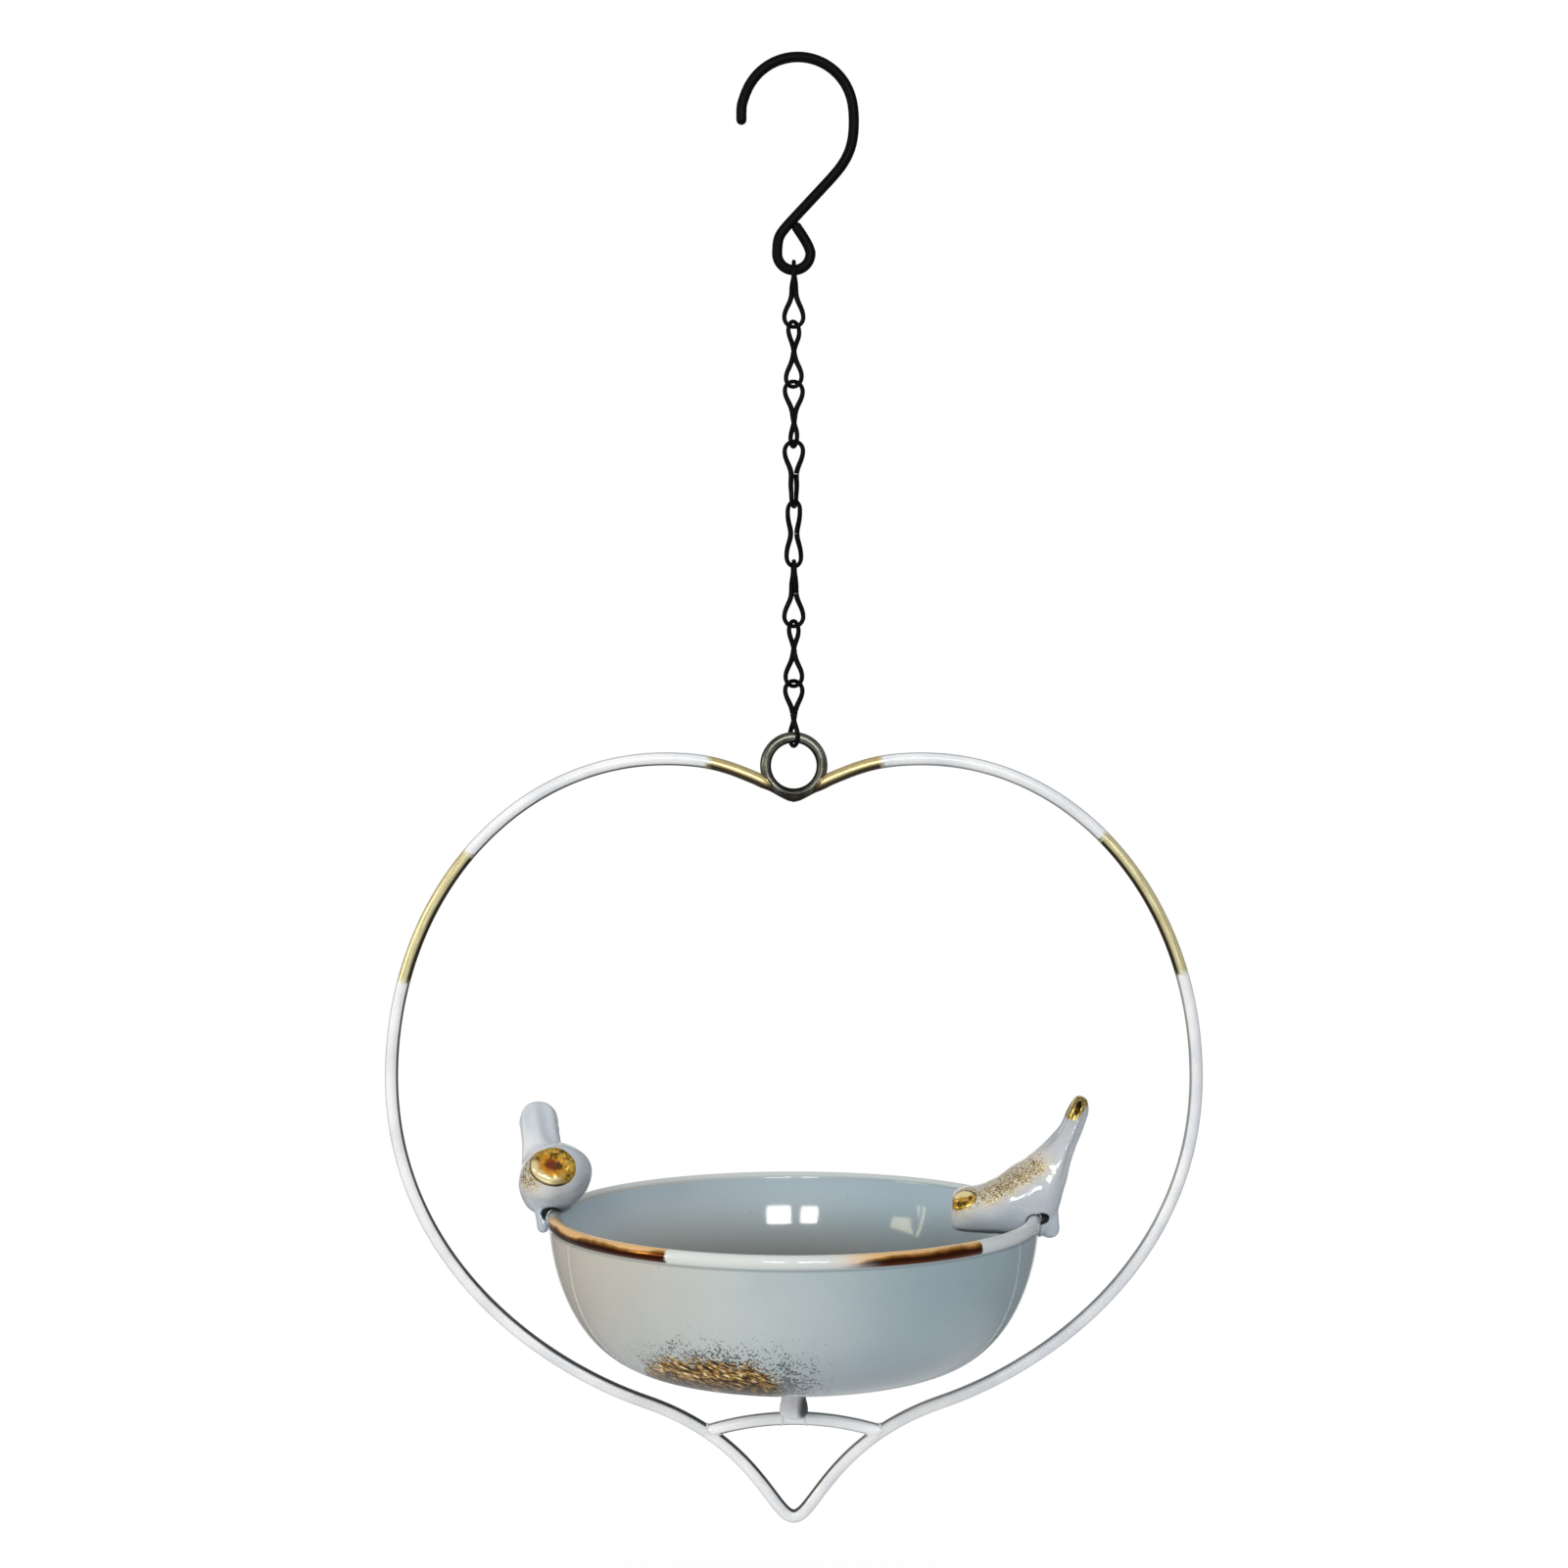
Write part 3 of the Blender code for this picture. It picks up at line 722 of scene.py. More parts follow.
def linkPath(pivot, lift, yaw):
    # starts and ends at the butted seam half way down one side
    end = chain["ringWire"] / 2 + chain["play"] + chain["wire"] / 2
    side = chain["inner"] + chain["wire"] - 2 * end
    top = lift - end
    bottom = top - side
    steps = chain["sideSteps"]
    half = steps // 2
    outline = []

    def addSide(way, start, step, first, last):
        for index in range(first, last):
            part = index / steps
            bulge = 0.5 + 0.5 * math.cos(math.tau * part)
            reach = chain["waist"] / 2 + (end - chain["waist"] / 2) * bulge
            outline.append((way * reach, start + step * part))

    def addBend(middle, start):
        for index in range(chain["arcSteps"]):
            angle = math.pi * (start + index / chain["arcSteps"])
            outline.append((end * math.cos(angle), middle + end * math.sin(angle)))

    addSide(1, bottom, side, half, steps)
    addBend(top, 0)
    addSide(-1, top, -side, 0, steps)
    addBend(bottom, 1)
    addSide(1, bottom, side, 0, half + 1)
    outline[0] = (outline[0][0], outline[0][1] + chain["seam"])
    points = []
    for reach, height in outline:
        down = limited((top - height) / side)
        turn = yaw + math.pi / 2 * (0.5 - 0.5 * math.cos(math.pi * down))
        points.append(Vector((reach * math.cos(turn), reach * math.sin(turn), pivot + height)))
    return points


def coatSwell(part):
    mean, build = chain["coat"]
    return mean + build * math.cos(2 * math.tau * part)


pivot = levels["eye"]
carrier = hook["wire"]
for number in range(1, chain["count"] + 1):
    lift = (carrier + chain["wire"]) / 2 + chain["gap"]
    path = linkPath(pivot, lift, math.pi / 2 - chain["twist"] * (number - 1))
    shape = wireShape(path, chain["wire"] / 2, sides=chain["sides"], capRings=0, swell=coatSwell)
    finishPiece("chainLink%d" % number, shape, blackCoat, ("chain_link_%d" % number,),
                body="link_%d" % number)
    pivot += lift - chain["inner"] - chain["wire"]
    carrier = chain["wire"]
print("hook and chain")


# Heart, ring, bar and post

heart = {
    "rod": 0.004, "width": 0.2504, "drop": 0.2212, "notchSlope": math.radians(21), "notchPull": 0.0185,
    "lobe": (0.0393, 0.0107), "lobePulls": (0.0177, 0.0465), "sideDrop": 0.0866, "sidePull": 0.055,
    "waist": (0.0452, 0.0350), "waistSlope": math.radians(19), "waistPull": 0.036, "tipPull": 0.0064,
    "steps": (40, 60, 70, 50), "sides": 28,
    # behind the ring the rod's bend is eased, sags and is drawn thin, each over its own reach
    "notchZone": -0.02, "notchEase": 0.0012, "notchSag": (0.0013, 0.012),
    "notchThin": (0.26, 0.0135, 0.0065),
    # gilded stretches: about the notch out to this reach, and on each side between two heights
    "notchGold": 0.0268, "leftGold": (-0.2429, -0.2828), "rightGold": (-0.2372, -0.2783),
    "notchFloor": -0.25, "sideFrom": 0.06, "goldOverlap": 0.01,
}


def heartSide():
    # right half of the rod's centreline from notch to tip
    notch = Vector((0, 0, 0))
    lobe = Vector((heart["lobe"][0], 0, heart["lobe"][1]))
    side = Vector(((heart["width"] - heart["rod"]) / 2, 0, -heart["sideDrop"]))
    waist = Vector((heart["waist"][0], 0, heart["waist"][1] - heart["drop"]))
    tip = Vector((0, 0, -heart["drop"]))
    rising = inPlane(heart["notchSlope"]) * heart["notchPull"]
    along = inPlane(heart["waistSlope"]) * heart["waistPull"]
    across = Vector((1, 0, 0))
    up = Vector((0, 0, heart["sidePull"]))
    runs = (
        (notch, rising, lobe - across * heart["lobePulls"][0], lobe),
        (lobe, lobe + across * heart["lobePulls"][1], side + up, side),
        (side, side - up, waist + along, waist),
        (waist, waist - along, tip + across * heart["tipPull"], tip),
    )
    path = []
    for run, count in zip(runs, heart["steps"]):
        path += interpolate_bezier(*run, count)[:-1]
    return path + [tip]


def heartPath():
    right = heartSide()
    mirrored = [point * Vector((-1, 1, 1)) for point in right[-2:0:-1]]
    ease = heart["notchEase"]
    slope = math.tan(heart["notchSlope"])
    sag, sagReach = heart["notchSag"]
    path = []
    for point in right + mirrored:
        reach = abs(point.x)
        if point.z > heart["notchZone"] and reach < ease:
            lift = slope * (reach * reach + ease * ease) / (2 * ease) - slope * reach
            point = point + Vector((0, 0, lift))
        if point.z > heart["notchZone"]:
            point = point - Vector((0, 0, sag * eased(limited(1 - reach / sagReach))))
        path.append(point + notchSpot)
    return path


hoopPath = heartPath()
hoopLength = sum((after - before).length for before, after in zip(hoopPath, hoopPath[1:] + hoopPath[:1]))


def lengthWhere(test):
    # length along the hoop to its first point that passes a test
    run = 0.0
    for before, after in zip(hoopPath, hoopPath[1:]):
        run += (after - before).length
        if test(after):
            break
    return run


def goldBands():
    # (start, end) of each gilded stretch as lengths along the hoop
    beyond = heart["sideFrom"]
    within = heart["notchGold"]
    right = [lengthWhere(lambda spot: spot.x > beyond and spot.z < level) for level in heart["rightGold"]]
    left = [lengthWhere(lambda spot: spot.x < -beyond and spot.z > level) for level in heart["leftGold"]]
    notchEnd = lengthWhere(lambda spot: spot.x > within)
    notchStart = lengthWhere(lambda spot: -within < spot.x < 0 and spot.z > heart["notchFloor"])
    return [
        (-heart["goldOverlap"], notchEnd), tuple(right), tuple(reversed(left)),
        (notchStart, hoopLength + heart["goldOverlap"]),
    ]


def drawnThin(part):
    # the rod is drawn thinner where it turns behind the ring
    thin, start, fade = heart["notchThin"]
    near = limited((start - min(part, 1 - part) * hoopLength) / fade)
    return 1 - thin * (0.5 - 0.5 * math.cos(math.pi * near))


gildedEnamel = enamelMaterial("gildedEnamel", goldBands())
shape = wireShape(hoopPath, heart["rod"] / 2, sides=heart["sides"], closed=True, swell=drawnThin)
finishPiece("heartHoop", shape, gildedEnamel, ("heart_hoop",))

hangRing = {"wire": 0.0034, "radius": 0.00865, "steps": 128, "sides": 28}
ringCentre = Vector((0, 0, levels["ringCentre"]))
ringPath = []
for angle in turns(hangRing["steps"]):
    ringPath.append(ringCentre + inPlane(angle - math.pi / 2) * hangRing["radius"])
shape = wireShape(ringPath, hangRing["wire"] / 2, sides=hangRing["sides"], closed=True)
finishPiece("hangRing", shape, pewter, ("suspension_ring",))

bar = {
    "rise": 0.0260, "arch": 0.0040, "steps": 48, "inset": 0.992, "sides": 28, "capRings": 2,
    "rodBelow": -0.36,
}
barEnds = levels["notch"] - heart["drop"] + bar["rise"]
lowerRight = [point for point in hoopPath if point.x > 0 and point.z < bar["rodBelow"]]
for above, below in zip(lowerRight, lowerRight[1:]):
    if above.z >= barEnds >= below.z:
        barReach = above.lerp(below, (above.z - barEnds) / (above.z - below.z)).x
barPath = []
for index in range(bar["steps"] + 1):
    part = 2 * index / bar["steps"] - 1
    barPath.append(Vector((barReach * part * bar["inset"], 0, barEnds + bar["arch"] * (1 - part * part))))
shape = wireShape(barPath, heart["rod"] / 2, sides=bar["sides"], capRings=bar["capRings"])
finishPiece("crossBar", shape, barLitEnamel, ("cross_bar",))

post = {
    "radius": 0.0034, "flare": 0.0010, "height": 0.0162, "hole": 0.0023, "holeDepth": 0.009, "core": 0.0005,
    "edge": 0.0008, "bevel": 0.0001, "steps": 64,
    # how much of the flare is reached at each height above the bar's middle
    "swell": ((0.0, 0.0088), (0.3, 0.0062), (0.8, 0.0042), (1.0, 0.0026), (0.8, 0.0013)),
    "toe": ((0.98, 0.0004), (0.66, 0.0001)),
}


def postProfile():
    radius = post["radius"]
    holeFoot = post["height"] - post["holeDepth"]
    top = post["height"]
    profile = [(post["hole"], holeFoot), (post["hole"], top), (radius - post["bevel"], top)]
    profile += [(radius + post["flare"] * share, up) for share, up in post["swell"]]
    profile += [(radius * share, up) for share, up in post["toe"]]
    return roundedProfile(profile + [(post["core"], 0.0), (post["core"], holeFoot)], post["edge"])


def postMaterial():
    # lilac-white paint, painted lighter to stand in for light under the bowl, with painted shade down its
    # right side
    look = {"pale": (0.90, 0.91, 0.97), "shade": (0.80, 0.83, 0.92), "nearBlack": (0.014, 0.015, 0.020),
            "cloud": 240, "peel": 1500, "shadeSide": (0.94, -0.34, 0.0), "ragged": 0.0016,
            "shadeSpan": (0.0020, 0.0038, 0.0, 0.92), "rough": (0.28, 0.42), "bump": (0.15, 0.0001)}
    material, shader, place = startMaterial("postEnamel")
    cloud = noiseOf(place, look["cloud"], 4, 0.6)
    colour = blendColour(rise(cloud, 0.35, 0.65), look["shade"], look["pale"])
    # painted shade darkens the right side
    toShadeSide = cloud * look["ragged"] + (alongLine(place, look["shadeSide"]) - look["ragged"] / 2)
    colour = blendColour(rise(toShadeSide, *look["shadeSpan"]), colour, look["nearBlack"])
    joinShader(shader, Base_Color=colour, Roughness=rise(cloud, 0.25, 0.75, *look["rough"]),
               Normal=bumpOf(noiseOf(place, look["peel"], 2), *look["bump"]))
    return material


shape = turnedShape(postProfile(), post["steps"], levels["barMiddle"])
finishPiece("bowlPost", shape, postMaterial(), ("bowl_post",))
print("heart, ring, bar and post")

weld = {
    "barBead": 0.00045, "ringBead": 0.0007, "postBead": 0.00035, "sides": 12, "capRings": 3, "loopPoints": 20,
    "sunk": 0.49, "creep": 0.0001, "creeps": 120, "barFrom": (0.80, 0.36), "postFlare": 0.5,
    "ringFrom": math.radians(44), "ringSpan": math.radians(32), "ringPoints": 12, "ringSunk": 0.92,
    # each bead: parts of a step, ripples and lumps, and how it thins towards open ends
    "parts": (0.0, 0.25, 0.5, 0.75), "ripple": (0.86, 0.14, 0.9), "lump": (6, 0.14), "taper": (0.25, 3.2),
    "barSeed": 3.1, "ringSeed": 1.7, "postSeed": 2.3,
}


def weldBead(name, path, radius, closed, seed, material):
    # a rippled bead of weld, drawn along a crease
    dense = []
    for index in range(len(path) if closed else len(path) - 1):
        after = path[(index + 1) % len(path)]
        dense += [path[index].lerp(after, part) for part in weld["parts"]]
    if not closed:
        dense.append(path[-1])
    least, slope = weld["taper"]
    mean, deep, pitch = weld["ripple"]
    often, high = weld["lump"]

    def swell(part):
        taper = 1.0 if closed else min(1.0, least + slope * part, least + slope * (1 - part))
        ripple = mean + deep * abs(math.sin(part * len(path) * pitch + seed))
        return taper * (ripple + noise.noise(Vector((part * often, seed, 0))) * high)

    shape = wireShape(dense, radius, weld["sides"], closed, swell, weld["capRings"])
    finishPiece(name, shape, material)


back = Vector((0, 1, 0))
for side, name in ((-1, "barWeldLeft"), (1, "barWeldRight")):
    # each point of the loop creeps out along the bar until it meets the heart
    rod = [point * Vector((side, 1, 1)) for point in lowerRight]
    inset, lift = weld["barFrom"]
    base = Vector((barReach * side * inset, 0, barEnds + bar["arch"] * lift))
    out = (Vector((barReach * side, 0, barEnds)) - base).normalized()
    loop = []
    for angle in turns(weld["loopPoints"]):
        spoke = back * math.cos(angle) + back.cross(out) * math.sin(angle)
        spot = base + spoke * heart["rod"] * weld["sunk"]
        for creep in range(weld["creeps"]):
            if min((spot - point).length for point in rod) < heart["rod"] / 2:
                break
            spot = spot + out * weld["creep"]
        loop.append(spot)
    weldBead(name, loop, weld["barBead"], True, weld["barSeed"] * side, weldEnamel)

for side, sideName in ((-1, "Left"), (1, "Right")):
    for depth, depthName in ((-1, "Front"), (1, "Back")):
        crease = []
        for index in range(weld["ringPoints"]):
            angle = weld["ringFrom"] + weld["ringSpan"] * index / (weld["ringPoints"] - 1)
            onRing = ringCentre + Vector((math.sin(angle) * side, 0, -math.cos(angle))) * hangRing["radius"]
            onRod = min(hoopPath, key=lambda spot: (spot - onRing).length)
            apart = (onRing - onRod).length
            half = math.sqrt(max(0.0, (hangRing["wire"] / 2) ** 2 - (apart / 2) ** 2))
            crease.append((onRing + onRod) / 2 + Vector((0, depth * half * weld["ringSunk"], 0)))
        name = "ringWeld" + sideName + depthName
        weldBead(name, crease, weld["ringBead"], False, weld["ringSeed"] * side + depth, gildedEnamel)

for side, name in ((-1, "postWeldLeft"), (1, "postWeldRight")):
    loop = []
    for angle in turns(weld["loopPoints"]):
        y = heart["rod"] * weld["sunk"] * math.cos(angle)
        z = heart["rod"] * weld["sunk"] * math.sin(angle)
        reach = math.sqrt(max(0.0, (post["radius"] + post["flare"] * weld["postFlare"]) ** 2 - y * y))
        loop.append(Vector((side * reach, y, levels["barMiddle"] + z - weld["creep"])))
    weldBead(name, loop, weld["postBead"], True, weld["postSeed"] * side, weldEnamel)
print("welds")


# Bowl

bowl = {
    "radius": 0.0753, "height": 0.0466, "foot": 0.0359, "rim": 0.0042, "lip": 0.0006, "base": 0.0055,
    "belly": 2.68, "fall": 1.77, "footRing": 0.0035, "footRecess": 0.0015, "hole": 0.0023,
    "wallSteps": 44, "lipSteps": 22, "turnSteps": 192, "wobble": 0.00012, "wobbleScale": 22, "neck": 0.0004,
    "sharp": 40,
}


def bowlProfile(grow=0.0):
    # round the rim, down the outer wall, under the foot, up the hole and up the inner wall
    count = bowl["wallSteps"]
    bead = bowl["rim"] / 2
    drop = bowl["height"] - bead
    wall = bowl["radius"] - bowl["lip"]
    outer = []
    for index in range(count + 1):
        angle = math.pi / 2 * index / count
        radius = bowl["foot"] + (wall - bowl["foot"]) * max(0.0, math.cos(angle)) ** (2 / bowl["belly"])
        outer.append(Vector((radius, drop * (1 - math.sin(angle) ** (2 / bowl["fall"])))))
    outer[-1].x = bowl["foot"]
    inner = []
    grown = []
    for index, point in enumerate(outer):
        way = (outer[min(index + 1, count)] - outer[max(index - 1, 0)]).normalized()
        if index == 0:
            way = Vector((0, -1))
        elif index == count:
            way = Vector((-1, 0))
        thick = bowl["rim"] - bowl["lip"] + (bowl["base"] - bowl["rim"] + bowl["lip"]) * index / count
        inward = Vector((way.y, -way.x))
        inner.append(point + inward * (thick + grow))
        grown.append(point - inward * grow)
    lipAngle = -math.acos(1 - bowl["lip"] / bead)
    middle = Vector((bowl["radius"] - bead, drop))
    lip = []
    for index in range(bowl["lipSteps"]):
        angle = math.pi + (lipAngle - math.pi) * (index + 1) / bowl["lipSteps"]
        lip.append(middle + Vector((math.cos(angle), math.sin(angle))) * (bead + grow))
    grown = [point for point in grown[1:] if point.y < lip[-1].y - bowl["neck"]]
    foot = bowl["foot"] - bowl["footRing"]
    recess = bowl["footRecess"]
    under = [
        (foot + bowl["footRing"] * 0.5, -grow), (foot, -grow), (foot - recess * 0.6, recess * 0.5 - grow),
        (foot - recess, recess - grow), (bowl["hole"], recess - grow), (bowl["hole"], bowl["base"] + grow),
    ]
    return [tuple(point) for point in lip + grown + under + inner[::-1]]


def bowlGlaze():
    look = {
        "shadedBlue": (0.300, 0.395, 0.450), "warm": (0.485, 0.475, 0.435), "mist": (0.46, 0.53, 0.55),
        "deep": (0.235, 0.305, 0.350), "shadeInside": (0.125, 0.130, 0.112), "pale": (0.66, 0.70, 0.70),
        "litInside": (0.47, 0.60, 0.72), "milk": (0.60, 0.62, 0.60), "crease": (0.16, 0.19, 0.20),
        "iron": (0.16, 0.14, 0.11), "clay": (0.52, 0.44, 0.35), "nearBlack": (0.045, 0.042, 0.040),
        "cloud": 26, "fine": 420, "peel": (300, 0.25), "specks": 160, "wheel": (1900.0, 0.05),
        "rough": (0.055, 0.11), "clayRough": 0.5, "gleam": (0.55, 0.05), "bump": (0.16, 0.0002),
        # how much of each tone is laid on
        "insideWarm": 0.35, "litInsideShare": 0.55, "milkShare": 0.08, "paleShare": 0.80, "creaseShare": 0.5,
        "ironShare": 0.45,
        # where each tone comes in: across the bowl, by the cloud, above the foot, by depth inside
        "middle": 0.015, "wander": 0.03, "footWander": 0.01, "clayWander": 0.0012, "warmX": (-0.010, -0.062),
        "shadedBlueX": (-0.020, 0.040), "deepCloud": (0.40, 0.75, 0.0, 0.25),
        "deepFoot": (0.026, 0.004, 0.0, 0.74), "clayFoot": (0.0012, 0.0006), "outsideDepth": (0.0008, 0.0002),
        "litInsideDepth": (0.020, 0.003), "shadeInsideDepth": (0.008, 0.031, 0.0, 0.92),
        "shadeFloorDepth": (0.032, 0.040, 1.0, 0.62),
        # and about the rim: by height from its middle, and by reach from its outer edge
        "innerReach": (-0.0022, -0.0030), "outerPale": (-0.0022, -0.0008), "innerPale": (0.0004, 0.0018),
        "creaseLow": (-0.0027, -0.0021), "creaseHigh": (-0.0014, -0.0018), "speckSize": (0.055, 0.030),
    }
    material, shader, place = startMaterial("bowlGlaze")
    x, y, z = partsOf(place, "XYZ")
    fromFoot = z - levels["bowlFoot"]
    fromRim = z - (levels["rimTop"] - bowl["rim"] / 2)
    radius = fromAxis(place)
    fromEdge = radius - bowl["radius"]
    depth = markOf(place, "depth")
    cloud = noiseOf(place, look["cloud"], 4, 0.55)
    fine = noiseOf(place, look["fine"], 3, 0.55)
    outside = rise(depth, *look["outsideDepth"])
    drift = cloud * look["wander"] + (x - look["middle"])
    share = outside * (1 - look["insideWarm"]) + look["insideWarm"]
    litUpper = rise(depth, *look["litInsideDepth"]) * (1.0 - outside)
    inner = rise(fromEdge, *look["innerReach"])
    onRim = blendValue(inner, rise(fromRim, *look["outerPale"]), rise(fromRim, *look["innerPale"]))
    crease = rise(fromRim, *look["creaseLow"]) * rise(fromRim, *look["creaseHigh"]) * outside
    speck = rise(cellsOf(place, look["specks"]), *look["speckSize"])
    bare = rise(fine * look["clayWander"] + fromFoot, *look["clayFoot"])
    colour = layered(
        look["mist"],
        # the glaze runs warm at the left, misty in the middle and bluer to the right, its darker blue partly
        # painted shade
        (rise(drift, *look["warmX"]) * share, look["warm"]),
        (rise(drift, *look["shadedBlueX"]), look["shadedBlue"]),
        (rise(cloud, *look["deepCloud"]), look["deep"]),
        (rise(cloud * look["footWander"] + fromFoot, *look["deepFoot"]), look["deep"]),
        # inside, painted light makes it paler and bluer above, and painted shade darker below
        (litUpper * look["litInsideShare"], look["litInside"]),
        (rise(depth, *look["shadeInsideDepth"]) * rise(depth, *look["shadeFloorDepth"]), look["shadeInside"]),
        (fine * look["milkShare"], look["milk"]),
        # it is thin and pale over the rim, with a shaded crease under it
        (onRim * look["paleShare"], look["pale"]),
        (crease * look["creaseShare"], look["crease"]),
        # iron specks in the glaze, and bare clay where the foot stands
        (speck * look["ironShare"], look["iron"]),
        (bare, look["clay"]),
    )
    rough = rise(cloud, 0.3, 0.8, *look["rough"]) + bare * look["clayRough"]
    # wheel rings and a slight orange peel
    (often, deep), (scale, lift) = look["wheel"], look["peel"]
    height = maths("SINE", z * often) * deep + noiseOf(place, scale, 2) * lift

    # a splash of gold by the foot, brushed thick, with soot-dark drops flicked round it
    splash = {
        # smudges on the front: middle, height and width from outside in, thinnest share
        "core": (-0.0235, (0.0215, 0.006), (0.029, 0.008), 0.82),
        "halo": (-0.0190, (0.033, 0.007), (0.044, 0.008), 0.62),
        "frontY": (-0.012, -0.028), "frontReach": (0.030, 0.036), "patch": 170, "patchy": (0.32, 0.58, 1.15),
        "metal": 0.45, "dropDull": 0.7,
        "leaf": {"thick": 1.75, "grain": 0.9, "bare": 0.72, "cells": 1250, "soft": (0.0, 0.14),
                 "fade": (0.02, 0.10)},
        "drops": {"thick": 0.98, "grain": 0.9, "bare": 0.62, "cells": 1300, "soft": (-0.02, 0.10),
                  "fade": (0.02, 0.12, 0.0, 0.75)},
        "streak": 520, "streaky": (0.6, 0.6, 2.0), "shaded": (0.0095, 0.0040, 0.02, -0.085),
        # its flecks, dark to pale
        "flecks": ((0.39, (0.008, 0.004, 0.002)), (0.46, (0.070, 0.034, 0.009)), (0.53, (0.24, 0.130, 0.028)),
                   (0.60, (0.50, 0.32, 0.085)), (0.68, (0.90, 0.80, 0.58))),
    }
    gold = {"scale": 900, "rough": (0.18, 0.36), "lift": 0.9, "stretch": (0.5, 0.5, 1.9),
            "slant": math.radians(-24)}
    front = rise(y, *splash["frontY"]) * rise(radius, *splash["frontReach"]) * outside
    patch = noiseOf(place, splash["patch"], 3, 0.6)

    def smudge(middle, tall, wide, thinnest):
        spread = rise(fromFoot, *tall) * rise(abs(x - middle), *wide)
        low, high, thickest = splash["patchy"]
        return spread * rise(patch, low, high, thinnest, thickest) * front

    streak = noiseOf(place, splash["streak"], 4, 0.65, splash["streaky"])
    leaf = goldDust(place, smudge(*splash["core"]), streak, splash["leaf"])
    drops = goldDust(place, smudge(*splash["halo"]), fine, splash["drops"])
    colour = blendColour(drops, colour, look["nearBlack"])
    # its strokes slant down to the right
    slanted = mapped(place, Rotation=(0, gold["slant"], 0))
    stroke = noiseOf(slanted, gold["scale"], 3, 0.6, gold["stretch"])
    stroke = stroke + rise(fromFoot, *splash["shaded"])
    gold["dark"] = gold["pale"] = rampColour(stroke, splash["flecks"])
    colour, rough, height = gildFinish(place, leaf, colour, rough, height, gold)

    # two gilded runs along the rim, with painted light in peach on top and painted shade in dark brown below
    gilt = {
        # degrees about the bowl: where each run starts, is full, thins and ends
        "leftRun": (-171, -168, -119.5, -118.5), "rightRun": (-84, -70, -45, -44), "ragged": (210, 0.05),
        "low": (-0.0017, -0.0013), "inside": (-0.0032, -0.0026), "varied": (90, 0.0022, 0.0012), "rough": 0.2,
        # the left run is brighter at its far end, and the right one starts thin and pale
        "bright": (-128, -160, 0.0, 0.0004), "paleFrom": (-100, -95), "paleTo": (-80, -66, 0.0018, 0.0),
        "shadeToLightTones": ((0.0006, (0.066, 0.014, 0.003)), (0.0013, (0.40, 0.17, 0.026)),
                  (0.0020, (0.95, 0.60, 0.27))),
        "sheen": (0.0009, 0.0019, 0.9, 0.35), "streaky": 0.0006, "rightDarker": 0.0002,
    }
    turn = maths("ARCTAN2", y, x) + raggedBy(place, *gilt["ragged"])

    def turnRise(start, end, *shares):
        return rise(turn, math.radians(start), math.radians(end), *shares)

    def gildedRun(start, full, thins, end):
        return turnRise(start, full) * turnRise(end, thins)

    rightRun = gildedRun(*gilt["rightRun"])
    runs = higher(gildedRun(*gilt["leftRun"]), rightRun)
    runs = runs * rise(fromRim, *gilt["low"]) * rise(fromEdge, *gilt["inside"])
    scale, most, mean = gilt["varied"]
    up = fromRim + streak * gilt["streaky"] - rightRun * gilt["rightDarker"]
    up = up + (noiseOf(place, scale, 2) * most - mean)
    up = up + turnRise(*gilt["bright"]) + turnRise(*gilt["paleFrom"]) * turnRise(*gilt["paleTo"])
    colour = blendColour(runs, colour, rampColour(up, gilt["shadeToLightTones"]))
    rough = blendValue(runs, rough, gilt["rough"])
    sheen = runs * rise(up, *gilt["sheen"])
    joinShader(
        shader,
        Base_Color=colour,
        Roughness=rough,
        Metallic=higher(leaf * splash["metal"], sheen),
        Specular_IOR_Level=rise(higher(leaf, drops * splash["dropDull"]), 0.0, 1.0, *look["gleam"]),
        Normal=bumpOf(height, *look["bump"]),
    )
    return material


def throwBowl(place):
    # a hand-thrown bowl is never quite true
    drift = noise.noise(place * bowl["wobbleScale"]) * bowl["wobble"]
    return place + Vector((place.x, place.y, 0)).normalized() * drift


profile = bowlProfile()
insideFrom = len(profile) - bowl["wallSteps"] - 2  # the hole's upper edge and the inner wall
depths = [0.0] * insideFrom + [max(0.0, bowl["height"] - point[1]) for point in profile[insideFrom:]]
shape = turnedShape(profile, bowl["turnSteps"], levels["bowlFoot"], stir=throwBowl, depths=depths)
finishPiece("thrownBowl", shape, bowlGlaze(), ("bowl",), sharp=bowl["sharp"])
print("bowl")


# Clamp: pad, seal, washer and screw

clamp = {
    "hole": 0.0023, "pad": (0.0105, 0.0020), "seal": (0.0085, 0.0015), "washer": (0.0065, 0.0010),
    "steps": 64, "rounded": (0.35, 4),
    "head": 0.0080, "headHeight": 0.0026, "headSide": 0.0007, "headSteps": 12, "headEdge": 0.0002,
    "shank": 0.0040, "shankEnd": -0.40892, "slot": (0.0011, 0.0042, 0.0013), "screwSteps": 48,
    # thread: where it starts and ends short of the shank's ends, ridges and depth
    "threadFrom": -0.004, "threadShort": 0.0045, "threadTurns": 28, "threadDepth": 0.0003,
    "tipTaper": 0.0005, "headCurve": (0.8, 0.9), "sharp": 35,
}
for name, key, material, slot, node in (
    ("basePad", "pad", darkRubber, "rubber", "base_pad"),
    ("sealWasher", "seal", darkRubber, "rubber", "seal_washer"),
    ("screwWasher", "washer", brightSteel, "steel", "screw_washer"),
):
    radius, thick = clamp[key]
    outline = [(clamp["hole"], thick), (radius, thick), (radius, 0), (clamp["hole"], 0)]
    share, corner = clamp["rounded"]
    shape = turnedShape(roundedProfile(outline, thick * share, corner), clamp["steps"], levels[key])
    finishPiece(name, shape, material, (node,))


